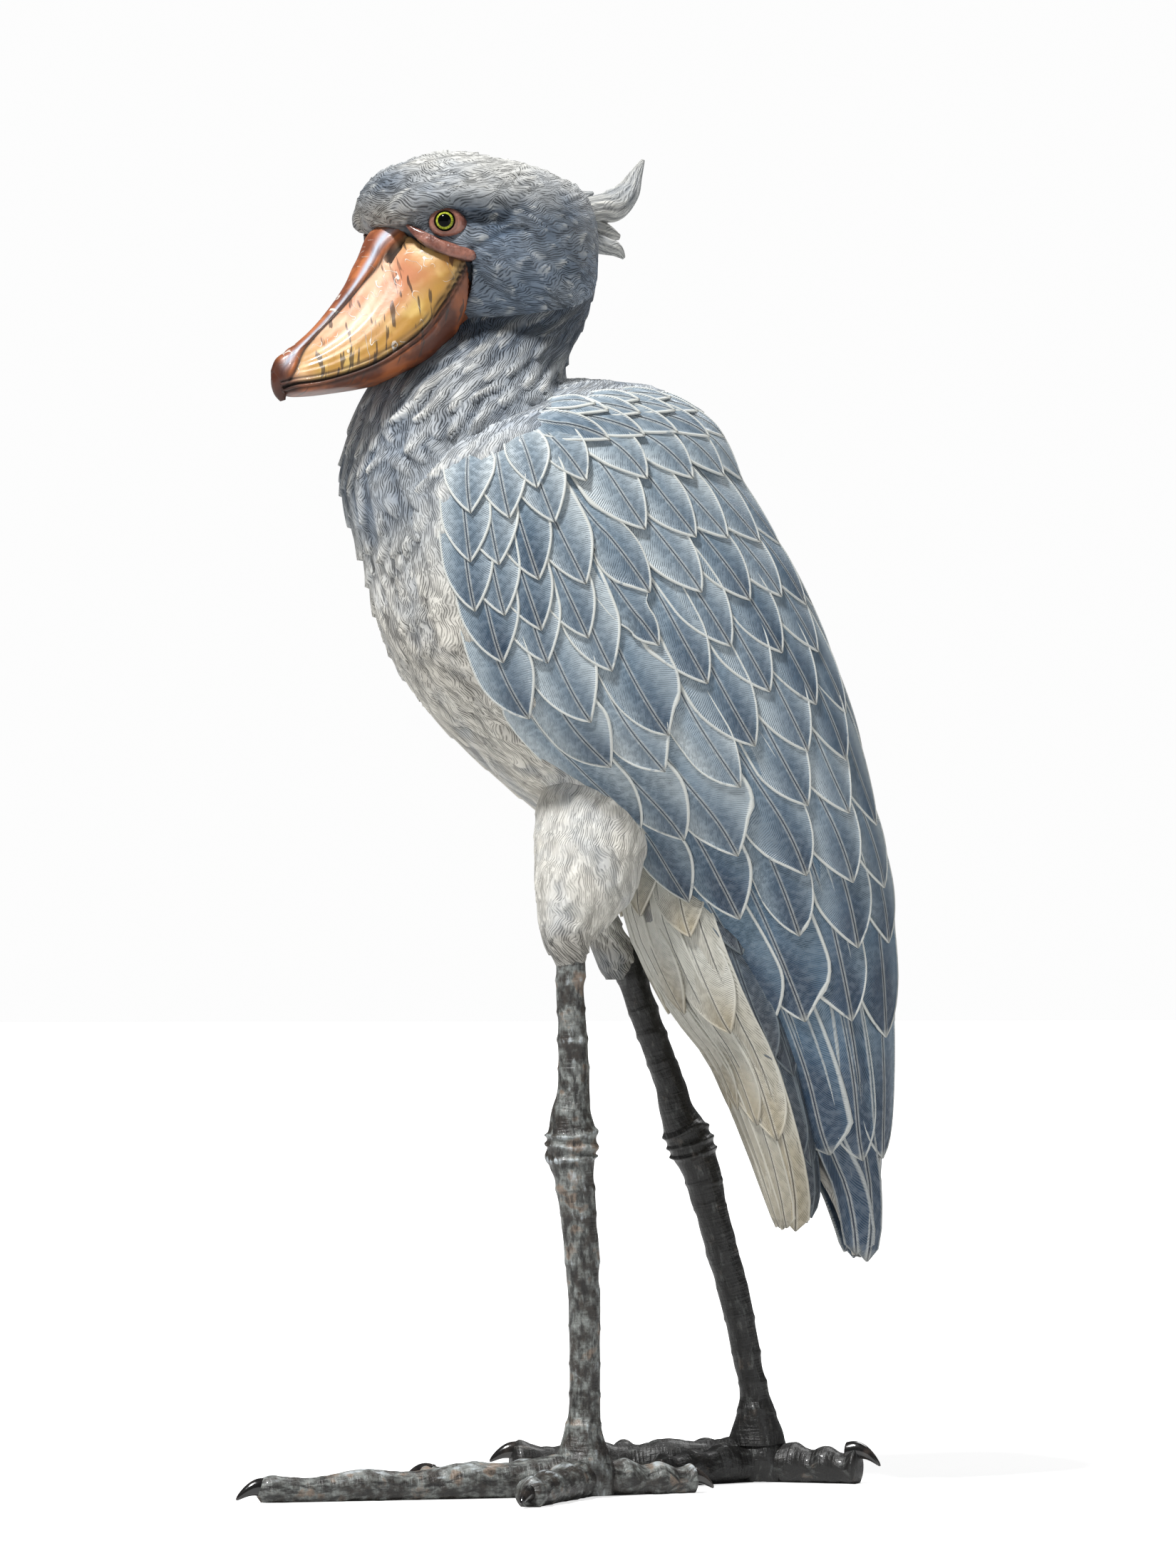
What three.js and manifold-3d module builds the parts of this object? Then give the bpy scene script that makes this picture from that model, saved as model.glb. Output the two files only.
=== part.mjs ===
// A standing shoebill figurine: one painted resin casting with two inset glass eyes.
// Millimetres. The bird faces -Y, its left side is +X, +Z is up, and its soles lie on z = 0.
import * as THREE from 'three';
import { mergeVertices } from 'three/addons/utils/BufferGeometryUtils.js';
import Module from 'manifold-3d';

const wasm = await Module();
wasm.setup();

// Driving dimensions. The whole bird is moved by this to stand centred over the origin.
const FRAME_SHIFT = [0.8, 30.3, 0];

// Neck, chest and belly. Each station of a body is [front y, front z, back y, back z, half width].
const TRUNK = [
  [-75, 508, -14, 506, 28],
  [-92, 487, -17, 490, 32],
  [-111, 463, -25, 465, 41],
  [-121, 437, -6, 446, 51],
  [-122.5, 416, 12, 422, 57],
  [-113, 388, 28, 398, 58.5],
  [-104, 356, 43, 371, 58],
  [-88, 330, 56, 344, 56],
  [-66.5, 308, 65, 314, 53],
  [-38, 285, 71, 281, 46],
  [-7, 264, 75, 254, 38],
  [19, 247, 68, 238, 22],
];

// Back and folded wings, from the shoulders down to the wing tips.
const WINGS = [
  [-56, 456, -28, 466.5, 20],
  [-81, 444, -8, 465.5, 40],
  [-104, 434, 14, 461.2, 52],
  [-112, 416, 36, 446.5, 59],
  [-109.5, 392, 49, 420, 62],
  [-105, 365, 69, 388, 63],
  [-96, 341, 84, 356, 62],
  [-79, 320, 95, 326, 60],
  [-51, 302, 101.5, 299, 56],
  [-20, 281, 109, 272, 51],
  [2, 257, 113.5, 248, 45],
  [22, 233, 115, 221, 39],
  [42, 206, 114.5, 194, 33],
  [59, 176, 113.5, 170, 27],
  [71, 149, 112, 146, 21],
  [86, 127, 110.5, 127, 15],
  [94, 108, 108.5, 107, 10],
  [97.5, 96, 105, 94, 7],
];

const TAIL = [
  [-3, 266, 53, 266, 30],
  [0.5, 236, 65, 239, 34],
  [18.5, 203, 71, 206, 32],
  [38.5, 178, 76, 176, 28],
  [53.5, 145, 81, 146, 23],
  [61.8, 123, 83, 125, 16],
  [67.5, 108.5, 79, 106.5, 9],
];

// Wing feathers, row by row from the shoulder: the tips' angles round the wing from its front,
// the stations of the first, middle and last tip, and how many stations deep the notches are.
const FEATHER_ROWS = [
  { tips: [104, 114, 130, 145, 162], at: [2.35, 2.65, 2.75], deep: 0.5 },
  { tips: [98, 109, 122, 137, 152, 168], at: [2.85, 3.1, 3.3], deep: 0.45 },
  { tips: [79, 90, 104, 120, 136, 152, 170], at: [3.5, 3.75, 4], deep: 0.6 },
  { tips: [57, 69, 81, 98, 111, 122, 136, 152, 168], at: [3.7, 4.5, 4.7], deep: 0.7 },
  { tips: [53, 62, 72, 83, 93, 105, 119, 133, 147, 162], at: [4.4, 5.2, 5.5], deep: 0.7 },
  { tips: [50, 59, 68, 79, 91, 107, 123, 141, 158], at: [5.1, 5.9, 6.2], deep: 0.7 },
  { tips: [53, 66, 81, 97, 113, 129, 146, 164], at: [5.9, 6.6, 7.1], deep: 0.8 },
  { tips: [50, 68, 85, 101, 118, 136, 156], at: [6.9, 7.5, 7.8], deep: 0.9 },
  { tips: [60, 76, 91, 108, 126, 145, 165], at: [7.9, 8.5, 8.8], deep: 1 },
  { tips: [43, 60, 78, 96, 116, 138, 162], at: [9.1, 9.7, 9.9], deep: 1.1 },
  { tips: [40, 64, 88, 112, 137, 163], at: [10.4, 10.9, 10.7], deep: 1.1 },
  { tips: [50, 76, 101, 130, 160], at: [12.3, 12.1, 12.4], deep: 1.3 },
  { tips: [63, 96, 128, 160], at: [14.3, 14.5, 14.2], deep: 1.6 },
];
const FEATHER_LIFT = 2.2;

// Locks of plumage down the chest and belly, each row set between the locks of the row above.
const LOCK_ROWS = {
  count: 9,
  first: 2.4,
  spacing: 0.88,
  deep: 0.55,
  even: [8, 24, 40, 56],
  odd: [16, 32, 48, 64],
};
const LOCK_LIFT = 1.5;

// Under-tail feathers down each side of the tail.
const TAIL_ROWS = [
  { tips: [22, 52, 85, 120], at: [2, 2.2, 2.4], deep: 0.8 },
  { tips: [15, 42, 72, 105], at: [3.4, 3.6, 3.8], deep: 1 },
  { tips: [20, 60, 100], at: [4.8, 5, 5], deep: 0.9 },
];
const TAIL_LIFT = 1.3;

// Edge of one feather or lock as [share of the way from its tip to the notch, share of the
// depth, height as a share of the lift].
const FEATHER_EDGE = [[-0.55, 0.32, 0.8], [0, 0, 1], [0.55, 0.32, 0.8]];
const LOCK_EDGE = [[0, 0, 1], [0.5, 0.4, 0.8]];
const NOTCH_HEIGHT = 0.5;
const STEP_GAP = 0.07;

// Stations of the plain rings above and below those rows, and their sides in half a turn.
const TRUNK_PLAIN = [[0, 0.6, 1.2, 1.7], [10.5, 11]];
const WING_PLAIN = [[0, 0.9, 1.6], [15.6, 16.4, 17]];
const TAIL_PLAIN = [[0, 0.8], [5.7, 6]];
const PLAIN_SIDES = 8;
const PLAIN_STEP = 36;

// The head's frame: its place, and its turn to the left.
const HEAD_PLACE = [0, -64.6, 523.5];
const HEAD_TURN = 10;
const HEAD_SIDES = 20;

// Head slices in the head's frame, from the crown down to the throat.
const HEAD = [
  [-22, 36.3, 1, 36, 10],
  [-40, 29.8, 27.5, 30, 29],
  [-49.8, 21.7, 44.5, 22, 37],
  [-52, 13, 49.5, 12.5, 41],
  [-48.5, 3.9, 51, 3.5, 42.5],
  [-46, -5.1, 51, -6, 43],
  [-40, -14.1, 50, -17, 42],
  [-34, -23.1, 47.5, -28, 38],
  [-26, -32, 40.5, -40, 31],
  [-16, -39, 28, -48, 20],
];

// Bill stations in the head's frame: ridge point, keel point, half width at the mouth line.
const BILL = [
  [-31, 14, -1, -38, 29],
  [-47.5, 3.2, -20, -48, 30],
  [-53.8, -9.5, -31, -55.7, 29.5],
  [-59.8, -20.5, -43, -60.8, 27.5],
  [-67.8, -31, -55, -63.9, 24.5],
  [-78, -41.7, -68, -66.2, 20],
  [-85.5, -48, -78, -67.6, 15.5],
  [-91.3, -52, -86, -68, 10],
  [-93.9, -57, -90, -66.5, 5],
];
// Half section of the bill: how far down from ridge to keel, and share of the half width.
const BILL_SECTION = [
  [0, 0],
  [0.005, 0.2],
  [0.05, 0.29],
  [0.1, 0.36],
  [0.3, 0.72],
  [0.52, 0.92],
  [0.72, 1],
  [0.765, 0.95],
  [0.81, 0.97],
  [0.92, 0.74],
  [1, 0],
];
// The hook over the bill's tip, as rows of [x, y, z, half width, half thickness].
const BILL_HOOK = [
  [0, -82, -53, 6, 3],
  [0, -88.4, -56.5, 5.5, 3.6],
  [0, -90.3, -61, 4.5, 3.5],
  [0, -90, -66, 3.2, 2.8],
  [0, -88.8, -69.6, 1.2, 1.2],
];

// Brow ridge over each eye, from beside the bill's root back over the cheek, for the left side.
const BROW = [
  [17, -43.5, 9, 5, 5],
  [27, -37, 13, 6, 5],
  [34, -26, 13.5, 5.5, 4.5],
  [38, -11, 11.5, 4, 3.5],
  [38.5, 1, 9, 2, 2],
];

// Crest plumes at the nape: the tall one, the drooping one and two short ones.
const CREST = [
  [
    [0, 40, 13, 8, 5],
    [0, 54, 16.5, 9, 5.6],
    [0, 62, 17.5, 8.5, 7.2],
    [0, 69, 24, 6, 5],
    [0, 73, 31.5, 3, 2.8],
    [0, 76.6, 38.4, 1, 0.8],
  ],
  [[3, 40, 3, 6, 4.5], [3, 54, 1, 5, 3.9], [3, 62, -0.8, 4, 3], [3, 66.3, -4.5, 1, 0.9]],
  [[-4, 40, 8, 6, 6], [-4, 54, 7.5, 5, 6], [-4, 66, 5.5, 2.4, 2.6]],
  [[-3, 42, 19, 5, 4], [-3, 50, 21.5, 3, 3], [-3, 54.5, 23.6, 0.8, 0.8]],
];

// The left eye in the head's frame: the ball, the gap round it in its socket, and its lid.
const EYE_PLACE = [32.8, -29.8, 4.2];
const EYE_FACING = [0.87, -0.5, 0.05];
const EYE_DIAMETER = 9.2;
const SOCKET_GAP = 0.3;
const LID_DEPTH = 1.5;
const LID_SHARES = [0.82, 0.7, 0.41];

// Thighs, as stations round their own middle plane, which leans in towards the hip.
const LEFT_THIGH = [
  [-38.5, 300, 22, 306, 19],
  [-45.5, 284, 8, 284, 21],
  [-47, 261, -1, 261, 19.5],
  [-46.5, 248, -6, 248, 17.5],
  [-46, 237, -16, 237, 13.5],
  [-44, 229, -24, 229, 10],
  [-41, 222, -27, 222, 7],
];
const RIGHT_THIGH = [
  [-34, 300, 12, 306, 19],
  [-31, 280, 7, 280, 20],
  [-26, 258, 2, 258, 17],
  [-19, 246, 1.5, 246, 13.5],
  [-12, 236, 6, 236, 11],
  [-7.5, 227, 12, 227, 9],
  [-3.5, 218, 12, 218, 7],
];
const THIGH_PLACE = 31;
const THIGH_LEAN = 0.11;
const THIGH_FOOT = 222;
const THIGH_SIDES = 12;

// Legs as [y, z, radius] from thigh to foot, and their sideways place at the top and the foot.
const LEG_SIDE = [31, 34];
const LEG_SIDES = 9;
const LEFT_LEG = [
  [-33.1, 232, 6.4],
  [-32.8, 207, 5.9],
  [-31.9, 185, 6.3],
  [-31.8, 168, 6.9],
  [-32.9, 158, 8.4],
  [-32.6, 150, 10.9],
  [-32.6, 145, 9.6],
  [-32.7, 140, 10.8],
  [-31.5, 131, 8.3],
  [-29.7, 113, 7.4],
  [-27.5, 75, 6.5],
  [-27.5, 40, 6.4],
  [-28, 26, 8.2],
  [-28, 14, 12],
];
const RIGHT_LEG = [
  [6.7, 228, 6.6],
  [14.9, 203, 6.1],
  [21.9, 185, 6.2],
  [28.2, 167, 6.6],
  [30.7, 158, 7.2],
  [34.4, 150, 9.8],
  [36.6, 145, 8.8],
  [38.6, 140, 9.7],
  [41.9, 131, 7.9],
  [46.9, 113, 6.9],
  [56.8, 78, 6.3],
  [64.3, 43, 6],
  [66, 31, 8],
  [66.5, 16, 12.5],
];

// Feet: the hub's place, the toes' radius there, and each toe as [heading in degrees from
// straight ahead towards the left, reach, radius at the claw, claw height, tip height].
const LEFT_FOOT = {
  place: [34, -28],
  toeRadius: 8.4,
  toes: [[1, 148, 5.6, 5, 1.6], [56, 78, 6.2, 4, 2.5], [-36, 82, 5.8, 7, 3], [190, 60, 6, 6, 2]],
};
const RIGHT_FOOT = {
  place: [-34, 67],
  toeRadius: 9,
  toes: [[-5, 116, 9.2, 13, 10], [-52, 84, 7.5, 7, 3], [25, 64, 7, 7, 3], [145, 55, 7.4, 13, 8]],
};
const CLAW_REACH = 9;
const CLAW_ROOT = 6;
const CLAW_RADIUS = 3.8;
const CLAW_TIP_RADIUS = 0.5;
const TOE_STEPS = 8;
const TOE_SIDES = 6;
const CLAW_SIDES = 5;
const SOLE_DEPTH = 1.2;
// The hub of a foot as [z, radius].
const HUB = [[-2, 12], [8, 13], [16, 11.5], [22.5, 8]];
const HUB_SIDES = 10;
const GROUND_DEPTH = 20;

const PLUMAGE = new THREE.MeshStandardMaterial({ color: '#7c8b9a', roughness: 0.75, metalness: 0 });
const GLASS = new THREE.MeshStandardMaterial({ color: '#a5a832', roughness: 0.05, metalness: 0 });

const radians = THREE.MathUtils.degToRad;
const rounded = (value, power) => Math.sign(value) * Math.abs(value) ** (2 / power);
const bump = (value, middle, spread) => Math.exp(-(((value - middle) / spread) ** 2));

// Numbers of a smooth curve through the rows; row k is met at t = k.
function rowAt(rows, t) {
  const last = rows.length - 1;
  const within = Math.min(Math.max(t, 0), last);
  const k = Math.min(Math.floor(within), last - 1);
  const f = within - k;
  const before = rows[Math.max(k - 1, 0)];
  const next = rows[k + 1];
  const after = rows[Math.min(k + 2, last)];
  return rows[k].map((value, i) => {
    const slope = (next[i] - before[i]) / 2;
    const square = before[i] - 2.5 * value + 2 * next[i] - 0.5 * after[i];
    const cube = 1.5 * (value - next[i]) + 0.5 * (after[i] - before[i]);
    return value + f * (slope + f * (square + f * cube));
  });
}

// Point of a loft: t along its stations, angle from the front (0) round by the left (90 degrees).
function loftPoint(rows, t, angle, power) {
  const [frontY, frontZ, backY, backZ, halfWidth] = rowAt(rows, t);
  const ahead = rounded(Math.cos(angle), power) / 2;
  const side = rounded(Math.sin(angle), power);
  return new THREE.Vector3(
    halfWidth * side,
    (frontY + backY) / 2 + (frontY - backY) * ahead,
    (frontZ + backZ) / 2 + (frontZ - backZ) * ahead,
  );
}

const LEFTWARD = new THREE.Vector3(1, 0, 0);

// A closed body turned right side out.
function solidFrom(points, triangles) {
  const geometry = new THREE.BufferGeometry();
  const numbers = points.flatMap((p) => [p.x, p.y, p.z]);
  geometry.setAttribute('position', new THREE.Float32BufferAttribute(numbers, 3));
  geometry.setIndex(triangles.flat());
  const merged = mergeVertices(geometry, 1e-4);
  const vertProperties = new Float32Array(merged.attributes.position.array);
  const triVerts = new Uint32Array(merged.index.array);
  if (signedVolume(vertProperties, triVerts) < 0) {
    for (let i = 0; i < triVerts.length; i += 3) {
      [triVerts[i], triVerts[i + 1]] = [triVerts[i + 1], triVerts[i]];
    }
  }
  return new wasm.Manifold(new wasm.Mesh({ numProp: 3, vertProperties, triVerts }));
}

function signedVolume(xyz, corners) {
  const [a, b, c] = [new THREE.Vector3(), new THREE.Vector3(), new THREE.Vector3()];
  let sum = 0;
  for (let i = 0; i < corners.length; i += 3) {
    a.fromArray(xyz, corners[i] * 3);
    b.fromArray(xyz, corners[i + 1] * 3);
    c.fromArray(xyz, corners[i + 2] * 3);
    sum += a.dot(b.cross(c));
  }
  return sum;
}

// Triangles that close a ring or a half ring with a fan round one middle point.
function fan(first, count, middle, turned, closed) {
  return Array.from({ length: closed ? count : count - 1 }, (_, i) => {
    const [a, b] = [first + i, first + ((i + 1) % count)];
    return turned ? [b, a, middle] : [a, b, middle];
  });
}

// A body from rings of equal count, each end closed by a fan.
function tube(rings) {
  const sides = rings[0].length;
  const points = rings.flat();
  const triangles = [];
  for (let r = 0; r + 1 < rings.length; r += 1) {
    for (let i = 0; i < sides; i += 1) {
      const [a, b] = [r * sides + i, r * sides + ((i + 1) % sides)];
      triangles.push([a, b, a + sides], [b, b + sides, a + sides]);
    }
  }
  for (const ring of [0, rings.length - 1]) {
    triangles.push(...fan(ring * sides, sides, points.length, ring === 0, true));
    points.push(rings[ring].reduce((sum, p) => sum.add(p), new THREE.Vector3()).divideScalar(sides));
  }
  return solidFrom(points, triangles);
}

function loftRings(rows, sides, power) {
  return rows.map((_, t) => (
    Array.from({ length: sides }, (__, i) => loftPoint(rows, t, (2 * Math.PI * i) / sides, power))
  ));
}

// Point at a height above a surface of two numbers, along its outward normal.
function raised(surface, t, angle, up) {
  const small = 0.01;
  const alongT = surface(t + small, angle).sub(surface(t - small, angle));
  const around = surface(t, angle + small).sub(surface(t, angle - small));
  const normal = new THREE.Vector3().crossVectors(alongT, around).normalize();
  return surface(t, angle).addScaledVector(normal, up);
}

// Straight lines between corners of [degrees, station, height].
function outlineAt(corners, degrees) {
  const next = corners.findIndex((corner) => corner[0] >= degrees);
  if (next <= 0) {
    return corners[next < 0 ? corners.length - 1 : 0];
  }
  const [a, b] = [corners[next - 1], corners[next]];
  const share = (degrees - a[0]) / (b[0] - a[0]);
  return a.map((value, i) => value + (b[i] - value) * share);
}

// Unraised corners of a ring between two angles.
function plainCorners(from, to, t) {
  const steps = Math.max(Math.ceil((to - from) / PLAIN_STEP), 1);
  return Array.from({ length: steps + 1 }, (_, i) => [from + ((to - from) * i) / steps, t, 0]);
}

// Lower edge of one row of feathers as corners of [degrees, station, height]: a notch between
// every two tips, and the edge of each feather between its notches.
function rowOutline({ tips, at, deep }, edge) {
  const last = tips.length - 1;
  const station = (i) => rowAt(at.map((value) => [value]), (2 * i) / last)[0];
  const halfGap = (i) => (i === 0 ? tips[1] - tips[0] : tips[i] - tips[i - 1]) / 2;
  const notchBefore = (i) => tips[i] - halfGap(i);
  const notchAfter = (i) => (i === last ? Math.min(tips[i] + halfGap(i), 180) : notchBefore(i + 1));
  const corners = plainCorners(0, Math.max(notchBefore(0), 0), station(0) - deep);
  tips.forEach((tip, i) => {
    const from = Math.max(notchBefore(i), 0);
    corners.push([from, station(i) - deep, i === 0 ? 0 : NOTCH_HEIGHT]);
    edge.forEach(([share, depth, height]) => {
      const room = share < 0 ? tip - from : notchAfter(i) - tip;
      corners.push([tip + share * room, station(i) - depth * deep, height]);
    });
  });
  corners.push(...plainCorners(notchAfter(last), 180, station(last) - deep));
  return corners.filter((corner, i) => i === 0 || corner[0] > corners[i - 1][0] + 0.5);
}

// Triangles between two half rings that both run from the front round to the back.
function zipped(upper, lower, firstUpper, firstLower) {
  const triangles = [];
  let [i, j] = [0, 0];
  while (i < upper.length - 1 || j < lower.length - 1) {
    const lowerDone = j === lower.length - 1;
    if (lowerDone || (i < upper.length - 1 && upper[i + 1][0] <= lower[j + 1][0])) {
      triangles.push([firstUpper + i, firstUpper + i + 1, firstLower + j]);
      i += 1;
    } else {
      triangles.push([firstUpper + i, firstLower + j + 1, firstLower + j]);
      j += 1;
    }
  }
  return triangles;
}

// Half rings of a body covered in rows of feathers or locks, as corners of [degrees, station,
// height]. Each row's edge stands proud and steps down to where the next row springs from.
function shingleRings(rows, edge, [plainAbove, plainBelow]) {
  const plain = (t) => Array.from({ length: PLAIN_SIDES + 1 }, (_, i) => [(180 * i) / PLAIN_SIDES, t, 0]);
  const rings = plainAbove.map(plain);
  let above = rings[rings.length - 1];
  for (const row of rows) {
    const lower = rowOutline(row, edge).map(([degrees, t, up]) => (
      [degrees, Math.max(t, outlineAt(above, degrees)[1] + STEP_GAP), up]
    ));
    rings.push(lower, lower.map(([degrees, t]) => [degrees, t, 0]));
    above = lower;
  }
  return [...rings, ...plainBelow.map(plain)];
}

// A feathered body from those half rings and their mirror image.
function shingled(surface, rings, lift) {
  const points = [];
  const triangles = [];
  rings.forEach((ring, k) => {
    if (k > 0) {
      triangles.push(...zipped(rings[k - 1], ring, points.length - rings[k - 1].length, points.length));
    }
    points.push(...ring.map(([degrees, t, up]) => raised(surface, t, radians(degrees), up * lift)));
  });
  const last = rings[rings.length - 1].length;
  for (const [first, count, turned] of [[0, rings[0].length, true], [points.length - last, last, false]]) {
    triangles.push(...fan(first, count, points.length, turned, false));
    points.push(points[first].clone().add(points[first + count - 1]).multiplyScalar(0.5));
  }
  points.forEach((p) => p.setX(Math.abs(p.x) < 0.01 ? 0 : p.x));
  const mirrored = points.map((p) => new THREE.Vector3(-p.x, p.y, p.z));
  const turnedOver = triangles.map(([a, b, c]) => [a, c, b].map((corner) => corner + points.length));
  return solidFrom([...points, ...mirrored], [...triangles, ...turnedOver]);
}

const wingSurface = (t, angle) => loftPoint(WINGS, t, angle, 2.5);
const tailSurface = (t, angle) => loftPoint(TAIL, t, angle, 2);
const trunkSurface = (t, angle) => loftPoint(TRUNK, t, angle, 2);

function lockRows() {
  const { count, first, spacing, deep, even, odd } = LOCK_ROWS;
  return Array.from({ length: count }, (_, row) => {
    const t = first + row * spacing;
    return { tips: row % 2 ? odd : even, at: [t, t, t], deep };
  });
}

// Rings round a path; each row is [x, y, z, radius sideways, radius across that].
function pathRings(rows, sides, sideways = LEFTWARD) {
  const places = rows.map(([x, y, z]) => new THREE.Vector3(x, y, z));
  return rows.map(([, , , wide, high], k) => {
    const before = places[Math.max(k - 1, 0)];
    const after = places[Math.min(k + 1, rows.length - 1)];
    const heading = after.clone().sub(before).normalize();
    const side = sideways.clone().addScaledVector(heading, -sideways.dot(heading)).normalize();
    const up = new THREE.Vector3().crossVectors(side, heading);
    return Array.from({ length: sides }, (_, i) => {
      const angle = (2 * Math.PI * i) / sides;
      const across = side.clone().multiplyScalar(wide * Math.cos(angle));
      return across.addScaledVector(up, high * Math.sin(angle)).add(places[k]);
    });
  });
}

const headMatrix = new THREE.Matrix4().makeRotationZ(radians(HEAD_TURN)).setPosition(...HEAD_PLACE);
const inHead = (rings) => rings.map((ring) => ring.map((p) => p.applyMatrix4(headMatrix)));

function headSkull() {
  return tube(inHead(loftRings(HEAD, HEAD_SIDES, 2.1)));
}

// The bill, with its mouth groove, from sections that run down its left side and up its right.
function bill() {
  const inner = BILL_SECTION.slice(1, -1).reverse();
  const section = [...BILL_SECTION, ...inner.map(([down, wide]) => [down, -wide])];
  const rings = BILL.map(([ridgeY, ridgeZ, keelY, keelZ, halfWidth]) => section.map(([down, wide]) => {
    const [y, z] = [ridgeY + (keelY - ridgeY) * down, ridgeZ + (keelZ - ridgeZ) * down];
    return new THREE.Vector3(wide * halfWidth, y, z);
  }));
  return tube(inHead(rings)).add(tube(inHead(pathRings(BILL_HOOK, 8))));
}

function brow(side) {
  return tube(inHead(pathRings(BROW.map(([x, ...rest]) => [side * x, ...rest]), 7)));
}

function crest() {
  return CREST.map((rows) => tube(inHead(pathRings(rows, 7))));
}

function bare(geometry) {
  geometry.deleteAttribute('normal');
  geometry.deleteAttribute('uv');
  return geometry;
}

// A low ring of lid round the eye.
function eyeLid(side) {
  const facing = new THREE.Vector3(side * EYE_FACING[0], EYE_FACING[1], EYE_FACING[2]).normalize();
  const lid = bare(new THREE.SphereGeometry(EYE_DIAMETER, 11, 6));
  lid.scale(...LID_SHARES);
  lid.applyQuaternion(new THREE.Quaternion().setFromUnitVectors(new THREE.Vector3(0, 0, 1), facing));
  const place = new THREE.Vector3(side * EYE_PLACE[0], EYE_PLACE[1], EYE_PLACE[2]);
  lid.translate(...place.addScaledVector(facing, -LID_DEPTH).toArray());
  lid.applyMatrix4(headMatrix);
  return fromGeometry(lid);
}

function fromGeometry(geometry) {
  const merged = mergeVertices(geometry, 1e-4);
  const xyz = merged.attributes.position;
  const corners = Array.from(merged.index.array);
  const point = (_, i) => new THREE.Vector3().fromBufferAttribute(xyz, i);
  const points = Array.from({ length: xyz.count }, point);
  return solidFrom(points, corners);
}

// The glass ball of an eye, or the socket that holds it when it is grown by the gap.
function eyeBall(side, grow) {
  const ball = bare(new THREE.SphereGeometry(EYE_DIAMETER / 2 + grow, 11, 7));
  ball.translate(side * EYE_PLACE[0], EYE_PLACE[1], EYE_PLACE[2]);
  ball.applyMatrix4(headMatrix);
  return fromGeometry(ball);
}

function thigh(rows, side) {
  const rings = loftRings(rows, THIGH_SIDES, 2);
  rings.flat().forEach((p) => p.setX(p.x + side * (THIGH_PLACE - THIGH_LEAN * (p.z - THIGH_FOOT))));
  return tube(rings);
}

function leg(rows, side) {
  const last = rows.length - 1;
  const path = rows.map(([y, z, radius], k) => {
    const x = side * (LEG_SIDE[0] + ((LEG_SIDE[1] - LEG_SIDE[0]) * k) / last);
    return [x, y, z, radius, radius];
  });
  return tube(pathRings(path, LEG_SIDES));
}

// A toe with two knuckles and a swollen end, lying on the ground, and its curved claw.
function toe(place, thick, [heading, reach, thin, clawHeight, tipHeight]) {
  const angle = radians(heading);
  const sideways = new THREE.Vector3(Math.cos(angle), Math.sin(angle), 0);
  const at = (along, high) => [place[0] + Math.sin(angle) * along, place[1] - Math.cos(angle) * along, high];
  const fleshy = reach - CLAW_REACH;
  const flesh = [];
  for (let i = 0; i <= TOE_STEPS; i += 1) {
    const share = i / TOE_STEPS;
    const knuckles = bump(share, 0.37, 0.1) + bump(share, 0.68, 0.1) + bump(share, 0.97, 0.07);
    const radius = (thick + (thin - thick) * share) * (0.9 + 0.18 * knuckles + 0.3 * bump(share, 0, 0.2));
    flesh.push([...at(fleshy * share, radius - SOLE_DEPTH), radius, radius]);
  }
  const claw = [0, 0.35, 0.7, 1].map((share) => {
    const high = clawHeight + 2 * Math.sin(Math.PI * share) + (tipHeight - clawHeight) * share ** 2;
    const radius = CLAW_RADIUS * (1 - share) ** 0.6 + CLAW_TIP_RADIUS;
    return [...at(fleshy - CLAW_ROOT + (CLAW_REACH + CLAW_ROOT) * share, high), radius, radius];
  });
  return tube(pathRings(flesh, TOE_SIDES, sideways)).add(tube(pathRings(claw, CLAW_SIDES, sideways)));
}

function foot({ place, toeRadius, toes }) {
  const hub = tube(pathRings(HUB.map(([z, radius]) => [...place, z, radius, radius]), HUB_SIDES));
  return [hub, ...toes.map((each) => toe(place, toeRadius, each))];
}

// Everything below the ground plane, to cut the soles flat.
function underground() {
  const slab = bare(new THREE.BoxGeometry(400, 500, GROUND_DEPTH));
  slab.translate(0, 0, -GROUND_DEPTH / 2);
  return fromGeometry(slab);
}

function figure() {
  const parts = [
    shingled(trunkSurface, shingleRings(lockRows(), LOCK_EDGE, TRUNK_PLAIN), LOCK_LIFT),
    shingled(wingSurface, shingleRings(FEATHER_ROWS, FEATHER_EDGE, WING_PLAIN), FEATHER_LIFT),
    shingled(tailSurface, shingleRings(TAIL_ROWS, FEATHER_EDGE, TAIL_PLAIN), TAIL_LIFT),
    headSkull(),
    bill(),
    ...[1, -1].flatMap((side) => [brow(side), eyeLid(side)]),
    ...crest(),
    thigh(LEFT_THIGH, 1),
    thigh(RIGHT_THIGH, -1),
    leg(LEFT_LEG, 1),
    leg(RIGHT_LEG, -1),
    ...foot(LEFT_FOOT),
    ...foot(RIGHT_FOOT),
  ];
  const whole = parts.reduce((sum, each) => sum.add(each));
  const socketed = [1, -1].reduce((body, side) => body.subtract(eyeBall(side, SOCKET_GAP)), whole);
  return socketed.subtract(underground());
}

function toGeometry(solid) {
  const mesh = solid.getMesh();
  const geometry = new THREE.BufferGeometry();
  geometry.setAttribute('position', new THREE.BufferAttribute(new Float32Array(mesh.vertProperties), 3));
  geometry.setIndex(new THREE.BufferAttribute(new Uint32Array(mesh.triVerts), 1));
  return geometry;
}

function named(name, solid, material) {
  const mesh = new THREE.Mesh(toGeometry(solid), material);
  mesh.name = name;
  return mesh;
}

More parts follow.
